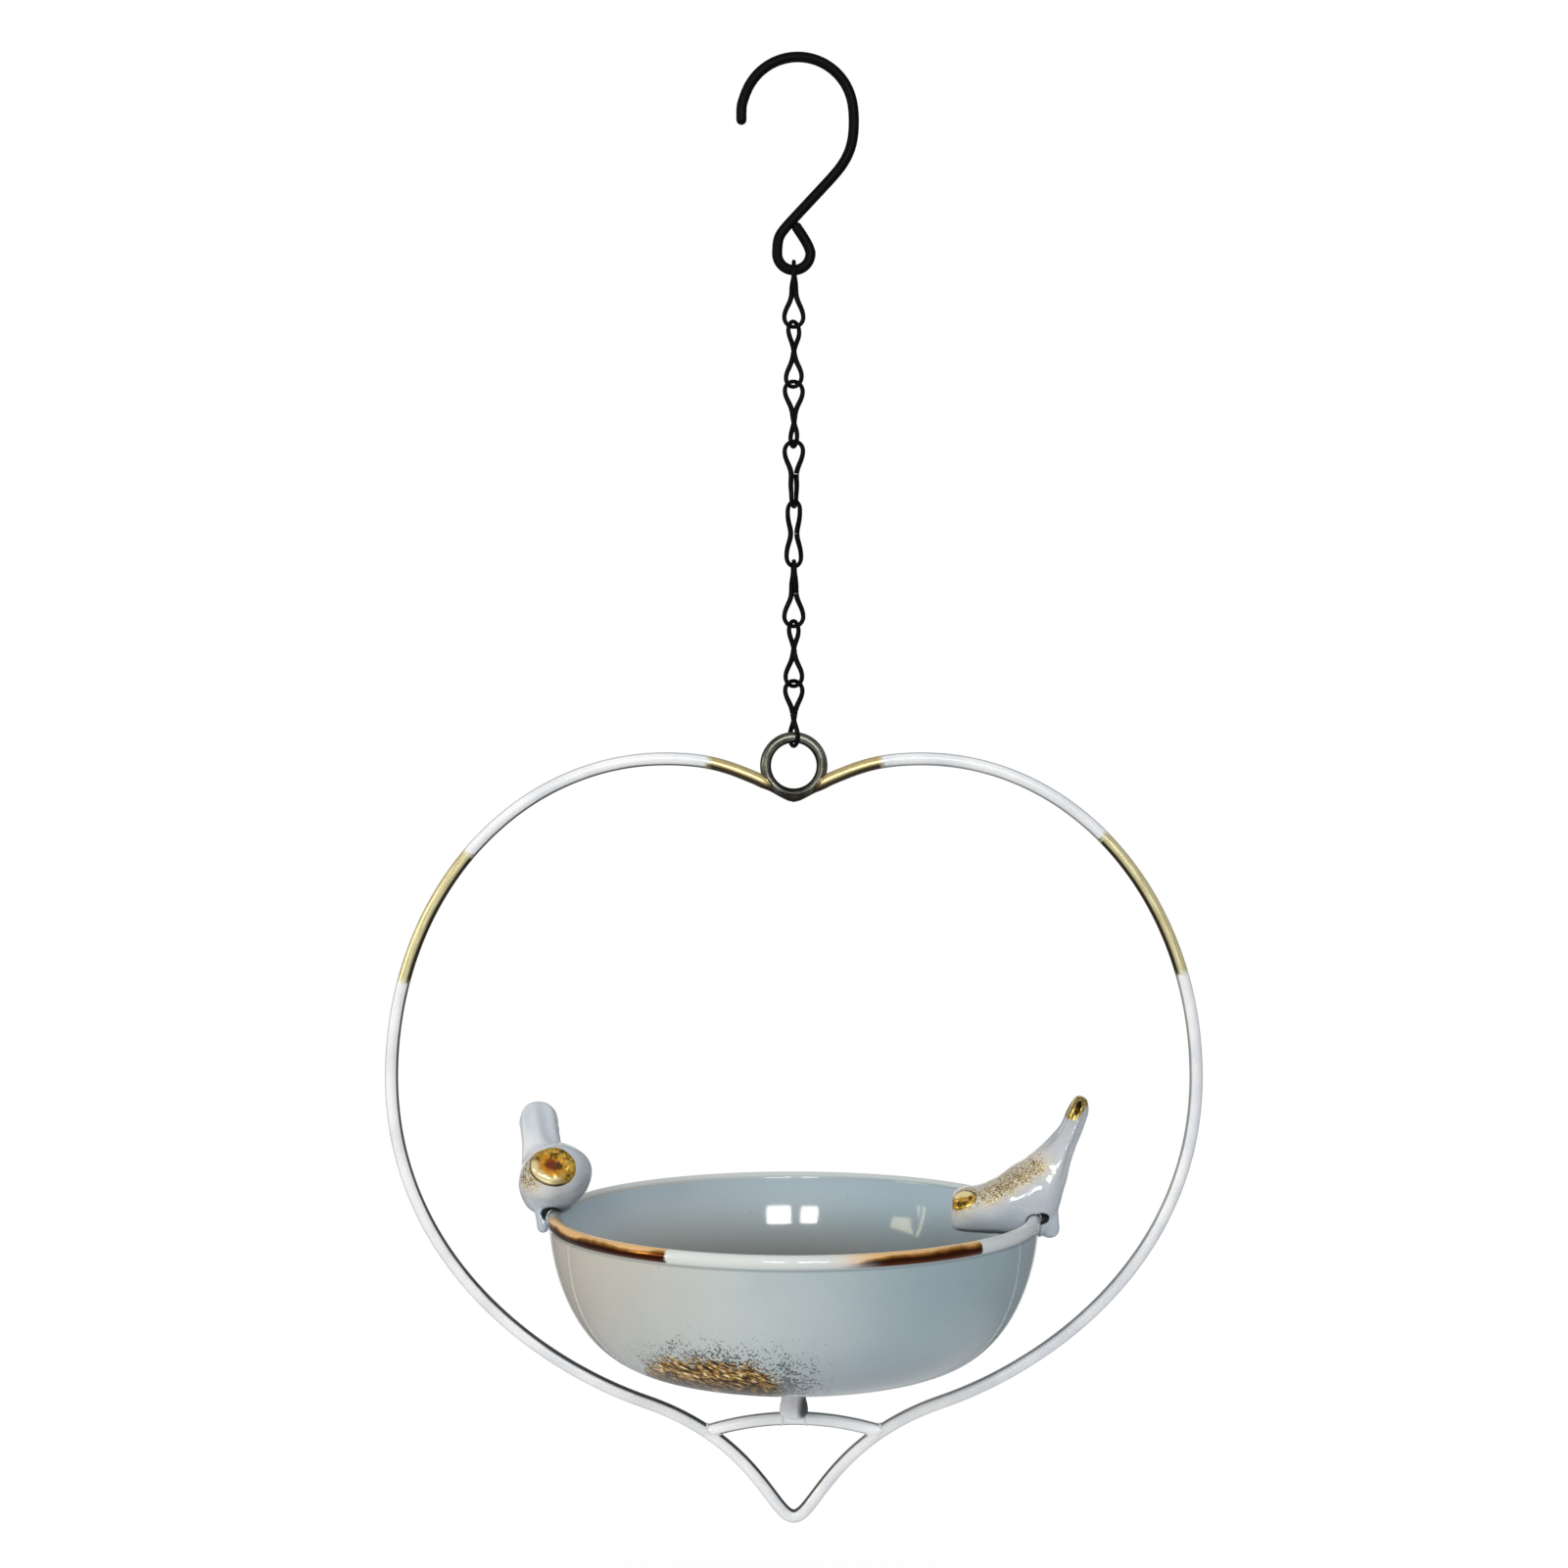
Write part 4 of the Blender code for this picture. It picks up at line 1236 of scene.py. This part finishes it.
def screwProfile():
    head = clamp["head"] / 2
    shank = clamp["shank"] / 2
    side, top = clamp["headSide"], clamp["headHeight"]
    wider, flatter = clamp["headCurve"]
    run = clamp["shankEnd"] - levels["screwHead"]
    profile = [(0.0, top)]
    for index in range(1, clamp["headSteps"] + 1):
        angle = math.pi / 2 * index / clamp["headSteps"]
        profile.append((head * math.sin(angle) ** wider, side + (top - side) * math.cos(angle) ** flatter))
    profile += [(head, clamp["headEdge"]), (head - clamp["headEdge"], 0.0), (shank, 0.0)]
    for index in range(clamp["threadTurns"] + 1):
        groove = clamp["threadDepth"] if index % 2 else 0.0
        down = (run + clamp["threadShort"]) * index / clamp["threadTurns"]
        profile.append((shank - groove, clamp["threadFrom"] + down))
    return profile + [(shank - clamp["tipTaper"], run), (0.0, run)]


shape = turnedShape(screwProfile(), clamp["screwSteps"], levels["screwHead"], closed=False)
screw = finishPiece("clampScrew", shape, brightSteel, ("clamp_screw",), sharp=clamp["sharp"])
wide, long, deep = clamp["slot"]
cutter = bmesh.new()
for size in ((wide, long, deep * 2), (long, wide, deep * 2.001)):  # a cross, its arms a hair apart in depth
    made = bmesh.ops.create_cube(cutter, size=1.0)["verts"]
    bmesh.ops.scale(cutter, vec=size, verts=made)
    bmesh.ops.translate(cutter, vec=(0, 0, levels["screwHead"] + clamp["headHeight"]), verts=made)
cutAway(screw, cutter, crossing=True)
screw.data.set_sharp_from_angle(angle=math.radians(clamp["sharp"]))
print("clamp")


# Birds: ribs are (top x, top z, low x, low z, half width) in millimetres, from bill to tail

birds = {
    "unit": 0.001, "ribPoints": 24, "shrink": 0.967, "gap": 0.0003, "flutes": 7, "fluteDepth": 0.15,
    "clay": 0.0005, "rubbing": 6, "skin": 0.00036, "skinRubbing": 2, "flatHollow": 0.72, "straddle": 0.019,
    "lumps": ((170, 0.00042), (420, 0.00008)), "rimSteps": 160, "sharp": 48, "billSharp": 80, "softness": 2,
    "lugSteps": 12, "hollowSteps": 6, "hollowSides": 28, "capRings": 6,
    # how straight down a face looks before painted shade darkens it, and how far that painted shade reaches
    # in the hollow
    "underFrom": 0.68, "underSpan": 0.27, "hollowReach": 1.10,
}
birdLeft = {
    "name": "birdLeft", "node": "bird_left", "heading": math.radians(-67), "perch": -0.0742,
    "ribs": (
        (13.8, 18.0, 14.8, 10.8, 5.2), (10.8, 21.2, 12.8, 6.4, 9.2), (5.4, 21.7, 7.8, 1.6, 11.4),
        (0.0, 20.4, 1.6, -2.4, 11.3), (-4.4, 19.8, -4.6, -4.4, 9.4), (-7.2, 21.8, -10.2, 7.0, 7.0),
        (-9.8, 25.8, -14.0, 19.0, 6.2), (-11.8, 29.4, -16.2, 25.8, 6.3), (-13.2, 31.3, -15.7, 29.6, 4.5),
        (-14.1, 31.9, -15.1, 31.2, 2.0),
    ),
    "fluted": (4, 8),
    # bill: the head it wraps, where it looks, half sizes and roll, its lips' height, throat and bright side
    "head": (2.4, 0.0, 10.2), "headRadius": 11.7, "billUp": math.radians(25), "billTurn": math.radians(-21),
    "billSize": (8.4, 6.3), "billRoll": math.radians(-24), "billLift": 1.0,
    "billThroat": 0.0, "billBright": 0.69,
    # lug: from under the ball down the outside of the rim, with its thickness at each end
    "lug": ((-0.0770, -0.0030, -0.3490), (-0.0761, -0.0050, -0.3561), 0.0027, 0.0019),
    # hollow: left open under the ball, just above the rim
    "hollow": ((-0.0738, -0.0150, -0.3524), (-0.0738, -0.0040, -0.3520), 0.0029),
    "pale": (0.70, 0.735, 0.775), "shade": (0.51, 0.57, 0.635), "lowerShadeShare": 0.75,
}
birdRight = {
    "name": "birdRight", "node": "bird_right", "heading": math.radians(180), "perch": 0.0732,
    "ribs": (
        (24.8, 5.4, 25.4, -6.0, 6.0), (22.0, 7.4, 22.4, -7.3, 8.0), (16.2, 7.2, 15.2, -7.4, 9.6),
        (8.8, 11.7, 6.4, -8.2, 11.4), (2.4, 16.4, -2.6, -10.2, 11.8), (-2.8, 20.2, -7.8, -3.0, 10.2),
        (-7.0, 23.8, -10.2, 11.0, 7.6), (-9.6, 27.8, -14.2, 22.0, 5.9), (-11.4, 32.4, -17.2, 29.4, 6.0),
        (-12.6, 34.4, -17.0, 32.2, 4.8), (-13.9, 35.2, -16.4, 34.1, 2.6),
    ),
    "fluted": (5, 9),
    "head": (17.8, 0.0, 0.2), "headRadius": 7.4, "billUp": math.radians(30), "billTurn": math.radians(54),
    "billSize": (4.7, 3.2), "billRoll": math.radians(30), "billLift": 0.40,
    "billThroat": 0.36, "billBright": 0.20,
    "lug": ((0.0770, -0.0030, -0.3500), (0.0780, -0.0046, -0.3566), 0.0038, 0.0031),
    "hollow": ((0.0748, -0.0180, -0.3533), (0.0748, -0.0065, -0.3530), 0.0025),
    # the same glaze as the left bird's, painted darker here as painted shade
    "pale": (0.57, 0.605, 0.65), "shade": (0.45, 0.495, 0.55), "lowerShadeShare": 0.35,
}


def birdPlace(bird):
    perch = Matrix.Translation((bird["perch"], 0, levels["rimTop"]))
    return perch @ Matrix.Rotation(bird["heading"], 4, "Z")


def birdShape(bird):
    shape = bmesh.new()
    unit = birds["unit"]
    points = birds["ribPoints"]
    rings = []
    for number, (topX, topZ, lowX, lowZ, half) in enumerate(bird["ribs"]):
        top = Vector((topX, 0, topZ)) * unit
        low = Vector((lowX, 0, lowZ)) * unit
        side = Vector((0, half * unit, 0))
        ring = []
        for angle in turns(points):
            scale = birds["shrink"]
            if bird["fluted"][0] < number < bird["fluted"][1]:
                scale *= 1 + birds["fluteDepth"] * math.cos(birds["flutes"] * angle)
            offset = side * math.cos(angle) + (top - low) / 2 * math.sin(angle)
            ring.append(shape.verts.new(birdPlace(bird) @ ((top + low) / 2 + offset * scale)))
        rings.append(ring)
    front, rear = ([shape.verts.new(sum((vert.co for vert in ring), Vector()) / points)]
                   for ring in (rings[0], rings[-1]))
    skinRings(shape, [front] + rings + [rear], points)
    return shape


def tailGilding(local, fine):
    # the gilded tip of the right bird's tail, and a dark run down the middle of it
    tail = {
        "tip": (-12.2, 0, 26.0), "up": (-0.344, 0, 0.939), "forward": (0.939, 0, 0.344), "wavy": 2.4,
        "lean": (0.42, 1.6), "from": (1.0, 2.2), "front": (-0.6, 0.1),
        "frontWavy": 0.4, "runMiddle": (5.6, 0.9), "runLength": 0.36, "runEdge": (1.3, 0.8), "runRagged": 0.7,
    }
    up = alongLine(local, tail["up"], tail["tip"])
    forward = alongLine(local, tail["forward"], tail["tip"])
    wavy = fine * tail["wavy"] - tail["wavy"] / 2
    slope, start = tail["lean"]
    lean = up * slope + (forward - start)
    gilded = rise(up + wavy, *tail["from"]) * rise(lean + wavy * tail["frontWavy"], *tail["front"])
    runUp = (up - tail["runMiddle"][0]) * tail["runLength"]
    runFront = forward - tail["runMiddle"][1]
    fromRun = fine * tail["runRagged"] + (runUp * runUp + runFront * runFront)
    return gilded, rise(fromRun, *tail["runEdge"])


def birdGlaze(bird, right):
    look = {
        "speckDark": (0.13, 0.085, 0.035), "milk": (0.66, 0.66, 0.66), "wash": (0.62, 0.55, 0.42),
        "run": (0.030, 0.018, 0.005), "nearBlack": (0.022, 0.026, 0.031), "lowerShade": (0.36, 0.45, 0.55),
        "greyShade": (0.33, 0.36, 0.40), "gleam": 0.6, "metal": 0.9, "rough": (0.07, 0.14), "bump": (0.3, 0.0003),
        "cloud": 70, "fine": 700, "peel": (420, 0.3), "specks": 620, "speckSize": (0.16, 0.08),
        "speckFrom": (0.2, 0.6),
        # how much of each tone is laid on
        "milkShare": 0.12, "washShare": 0.68, "speckShare": 0.8, "underShadeShare": 0.9,
        # in the bird's own millimetres: where painted shade makes it bluer low down, and greyer, as painted
        # shade, higher up on the right bird and on the left bird's side away from the light
        "lowerShadeUp": (7.0, -3.0), "greyShadeUp": (12.0, 30.0, 0.0, 0.55), "greyShadeAside": (1.5, 8.0, 0.0, 0.50),
        # gold dust about a spot, and on the right bird along its back too
        "leftSpot": ((7.5, -9.5, 13.0), (10.5, 2.5)), "rightSpot": ((20.8, 4.2, 3.4), (8.5, 3.0)),
        "backWay": (-19.8, 0, 12.0), "backFrom": (15.6, 0, 4.2),
        "backStart": (-4.5, 0.5), "backEnd": (27.0, 19.0),
        "backAcross": (12.0, 0, 19.8), "backMiddle": (15.2, 0, 4.8), "backWidth": (5.4, 1.0),
        "dust": {"thick": 0.76, "grain": 0.8, "bare": 0.55, "cells": 2000, "soft": (0.02, 0.16),
                 "fade": (0.03, 0.15)},
    }
    gold = {"dark": (0.33, 0.215, 0.045), "pale": (0.86, 0.68, 0.26), "scale": 900, "rough": (0.16, 0.36),
            "lift": 1.2}
    material, shader, place = startMaterial(bird["name"] + "Glaze")
    # the bird's own axes, in millimetres: forward, sideways, up
    home = birdPlace(bird)
    axes = [home.to_3x3() @ Vector(way) for way in ((1000, 0, 0), (0, 1000, 0), (0, 0, 1000))]
    forward, sideways, up = (alongLine(place, way, home.translation) for way in axes)
    local = valueFrom(place.tree, "ShaderNodeCombineXYZ", {0: forward, 1: sideways, 2: up})
    cloud = noiseOf(place, look["cloud"], 4, 0.55)
    fine = noiseOf(place, look["fine"], 3, 0.6)
    spot, reach = look["rightSpot" if right else "leftSpot"]
    dense = rise(distanceTo(local, spot), *reach)
    if right:
        along = alongLine(local, Vector(look["backWay"]).normalized(), look["backFrom"])
        off = abs(alongLine(local, Vector(look["backAcross"]).normalized(), look["backMiddle"]))
        back = rise(off, *look["backWidth"]) * rise(along, *look["backStart"]) * rise(along, *look["backEnd"])
        dense = higher(back, dense)
    mask = goldDust(place, dense, fine, look["dust"])
    darker = rise(cellsOf(place, look["specks"]), *look["speckSize"]) * rise(dense, *look["speckFrom"])
    colour = layered(
        bird["pale"],
        (rise(cloud, 0.3, 0.7), bird["shade"]),
        (fine * look["milkShare"], look["milk"]),
        (rise(up, *look["lowerShadeUp"], 0.0, bird["lowerShadeShare"]), look["lowerShade"]),
        (rise(up, *look["greyShadeUp"]) if right else rise(sideways, *look["greyShadeAside"]), look["greyShade"]),
        (dense * look["washShare"], look["wash"]),
        (darker * look["speckShare"], look["speckDark"]),
    )
    run = None
    if right:
        tail, run = tailGilding(local, fine)
        mask = higher(mask, tail)
    rough = rise(cloud, 0.3, 0.8, *look["rough"])
    scale, lift = look["peel"]
    peel = noiseOf(place, scale, 2) * lift
    colour, rough, height = gildFinish(place, mask, colour, rough, peel, gold)
    if run:
        colour = blendColour(run, colour, look["run"])
    # painted shade where the bird faces down and in its hollow
    colour = blendColour(markOf(place, "under") * look["underShadeShare"], colour, look["nearBlack"])
    joinShader(shader, Base_Color=colour, Roughness=rough, Metallic=mask * look["metal"],
               Specular_IOR_Level=look["gleam"], Normal=bumpOf(height, *look["bump"]))
    return material


def billMaterial():
    # gilded lips round a dark amber throat, by distance from its middle; the lip carries a painted highlight
    # on its bright side and painted shadow just outside it
    look = {
        "throat": (0.130, 0.022, 0.006), "amber": (0.52, 0.23, 0.018), "gold": (1.0, 0.88, 0.48),
        "dark": (0.40, 0.22, 0.03), "dull": (0.80, 0.52, 0.10), "groove": (0.050, 0.030, 0.012),
        "streak": 620, "streaky": 0.34, "darkSpotScale": 370, "gleam": 0.12, "bump": (0.35, 0.0004),
        # shares of the bill's half size: where the throat, the lip and the painted shadow outside it begin
        "amberOut": (0.12, 0.36), "lipOut": (0.36, 0.56), "lipShadowOut": (0.80, 0.88),
        "metalOut": (0.20, 0.5, 0.10, 0.58), "throatRough": (0.55, 0.25, 0.0, 0.28), "lipRough": (0.12, 0.28),
        # how far round from its bright side the lip carries the painted highlight, the dark spots or the
        # painted shadow
        "highlightTurn": (0.05, 0.75), "darkSpotTurn": (0.6, 0.2), "lipShadowTurn": (0.0, 0.5),
        "darkSpots": (0.55, 0.61, 0.0, 0.85), "lipShadowShare": 0.9,
    }
    material, shader, place = startMaterial("billGold")
    outward, turn = partsOf(wrapOf(place), "XY")
    bright = maths("COSINE", turn * math.tau)
    streak = noiseOf(place, look["streak"], 4, 0.65)
    drift = streak * look["streaky"] + (outward - look["streaky"] / 2)
    leaf = layered(
        look["dull"],
        (rise(streak, 0.58, 0.40), look["dark"]),
        (rise(bright, *look["highlightTurn"]), look["gold"]),
    )
    darkSpots = rise(noiseOf(place, look["darkSpotScale"], 2, 0.5), *look["darkSpots"]) * rise(bright, *look["darkSpotTurn"])
    groove = rise(outward, *look["lipShadowOut"]) * rise(bright, *look["lipShadowTurn"])
    colour = layered(
        look["throat"],
        (rise(drift, *look["amberOut"]), look["amber"]),
        (rise(drift, *look["lipOut"]), leaf),
        (darkSpots, look["groove"]),
        (groove * look["lipShadowShare"], look["groove"]),
    )
    joinShader(
        shader,
        Base_Color=colour,
        Metallic=rise(drift, *look["metalOut"]),
        Roughness=rise(streak, 0.2, 0.8, *look["lipRough"]) + rise(drift, *look["throatRough"]),
        Normal=bumpOf(streak, *look["bump"]),
        Specular_IOR_Level=look["gleam"],
    )
    return material


billGold = billMaterial()
bill = {
    "steps": 56, "cornerDip": 0.28, "lump": 0.16, "lumped": (0.3, 0.95), "dullLip": 0.70, "brightLip": 0.30,
    # how high it stands at each share of its half sizes, in millimetres
    "rise": (
        (0.0, 0.22), (0.16, 0.20), (0.32, 0.30), (0.44, 0.62), (0.54, 1.02), (0.62, 1.26), (0.70, 1.30),
        (0.78, 1.04), (0.84, 0.66), (0.90, 0.50), (0.97, 0.36), (1.04, -0.20), (1.10, -1.2),
    ),
}


def gapingBill(bird, piece):
    # an oval open bill, its lips proud of the head
    steps = bill["steps"]
    unit = birds["unit"]
    aim = Matrix.Rotation(bird["billTurn"], 3, "Z")
    look = aim @ inPlane(bird["billUp"])
    side = aim @ Vector((0, 1, 0))
    up = look.cross(side)
    roll = Matrix.Rotation(bird["billRoll"], 3, look)
    side, up = roll @ side, roll @ up
    home = birdPlace(bird)
    head = home @ (Vector(bird["head"]) * unit)
    faces = [face.vertices for face in piece.data.polygons]
    skin = BVHTree.FromPolygons([vert.co for vert in piece.data.vertices], faces)
    shape = bmesh.new()
    wrap = shape.loops.layers.uv.new("wrap")
    rings = []
    for reach, lift in bill["rise"]:
        ring = []
        for angle in turns(1 if reach == 0 else steps):
            corner = 1 - bill["cornerDip"] * abs(math.cos(angle)) ** 3  # the lips dip at the bill's corners
            lump = noise.noise(Vector((math.cos(angle) * 2, math.sin(angle) * 2, reach * 3))) * bill["lump"]
            lit = math.cos(angle - math.tau * bird["billBright"])
            lip = bird["billLift"] * (bill["dullLip"] + bill["brightLip"] * lit)
            high = lift * (corner * lip if lift > 0 else 1)
            if bill["lumped"][0] < reach < bill["lumped"][1]:
                high += lump
            flat = side * math.cos(angle) * bird["billSize"][0] + up * math.sin(angle) * bird["billSize"][1]
            out = home.to_3x3() @ (look * bird["headRadius"] + flat * reach).normalized()
            ring.append(shape.verts.new(skin.ray_cast(head, out)[0] + out * high * unit))
        rings.append(ring)
    for count, face in enumerate(skinRings(shape, rings, steps)):
        number, step = divmod(count, steps)
        for loop in face.loops:
            reach = bill["rise"][number if loop.vert in rings[number] else number + 1][0]
            reach = bird["billThroat"] + (1 - bird["billThroat"]) * reach
            loop[wrap].uv = (reach, step / steps - bird["billBright"])
    shape.faces.new(rings[-1])
    finishPiece(bird["name"] + "Bill", shape, billGold, sharp=birds["billSharp"])


def lugShape(bird):
    top, low, thick, thin = bird["lug"]

    def narrow(part):
        return 1 + (thin / thick - 1) * part

    path = straightPath(top, low, birds["lugSteps"])
    return wireShape(path, thick, swell=narrow, capRings=birds["capRings"])


def hollowShape(bird):
    mouth, end, radius = bird["hollow"]
    path = straightPath(mouth, end, birds["hollowSteps"])
    shape = wireShape(path, radius, sides=birds["hollowSides"], capRings=birds["capRings"])
    for vert in shape.verts:
        vert.co.z = end[2] + (vert.co.z - end[2]) * birds["flatHollow"]
    return shape


def rubClay(piece, grain, times):
    pressed = piece.modifiers.new("pressed", "REMESH")
    pressed.mode = "VOXEL"
    pressed.voxel_size = grain
    rubbed = piece.modifiers.new("rubbed", "SMOOTH")
    rubbed.iterations = times
    appliedMesh(piece)


def mouldBird(piece, bird, material):
    # the lug is pressed on and rubbed smooth, as one lump of clay
    lug = meshOf("lug", lugShape(bird))
    both = bmesh.new()
    both.from_mesh(piece.data)
    both.from_mesh(lug)
    both.to_mesh(piece.data)
    both.free()
    bpy.data.meshes.remove(lug)
    rubClay(piece, birds["clay"], birds["rubbing"])
    for vert in piece.data.vertices:  # pressed by hand, so never quite smooth
        vert.co += vert.normal * sum(noise.noise(vert.co * scale) * lump for scale, lump in birds["lumps"])
    lowest = bowl["height"] - birds["straddle"]
    rimWall = [point for point in bowlProfile(birds["gap"]) if point[1] > lowest]
    cutAway(piece, turnedShape(rimWall, birds["rimSteps"], levels["bowlFoot"]))
    cutAway(piece, hollowShape(bird))
    rubClay(piece, birds["skin"], birds["skinRubbing"])
    keepLargest(piece)
    coatPiece(piece, material, birds["sharp"])


def markPaintedShade(piece, bird):
    # marks what faces down or lies in the hollow, for painted shade there
    end, radius = bird["hollow"][1:]
    mark = piece.data.attributes.new("under", "FLOAT", "POINT")
    for vert in piece.data.vertices:
        down = limited((-vert.normal.z - birds["underFrom"]) / birds["underSpan"])
        across = math.hypot(vert.co.x - end[0], (vert.co.z - end[2]) / birds["flatHollow"])
        inHollow = across < radius * birds["hollowReach"] and vert.co.y < end[1] + radius
        mark.data[vert.index].value = 1.0 if inHollow else eased(down)


for bird in (birdLeft, birdRight):
    glaze = birdGlaze(bird, right=bird is birdRight)
    piece = finishPiece(bird["name"], birdShape(bird), glaze, (bird["node"],))
    soften = piece.modifiers.new("soften", "SUBSURF")
    soften.levels = birds["softness"]
    soften.render_levels = birds["softness"]
    appliedMesh(piece)
    mouldBird(piece, bird, glaze)
    markPaintedShade(piece, bird)
    gapingBill(bird, piece)
print("birds")
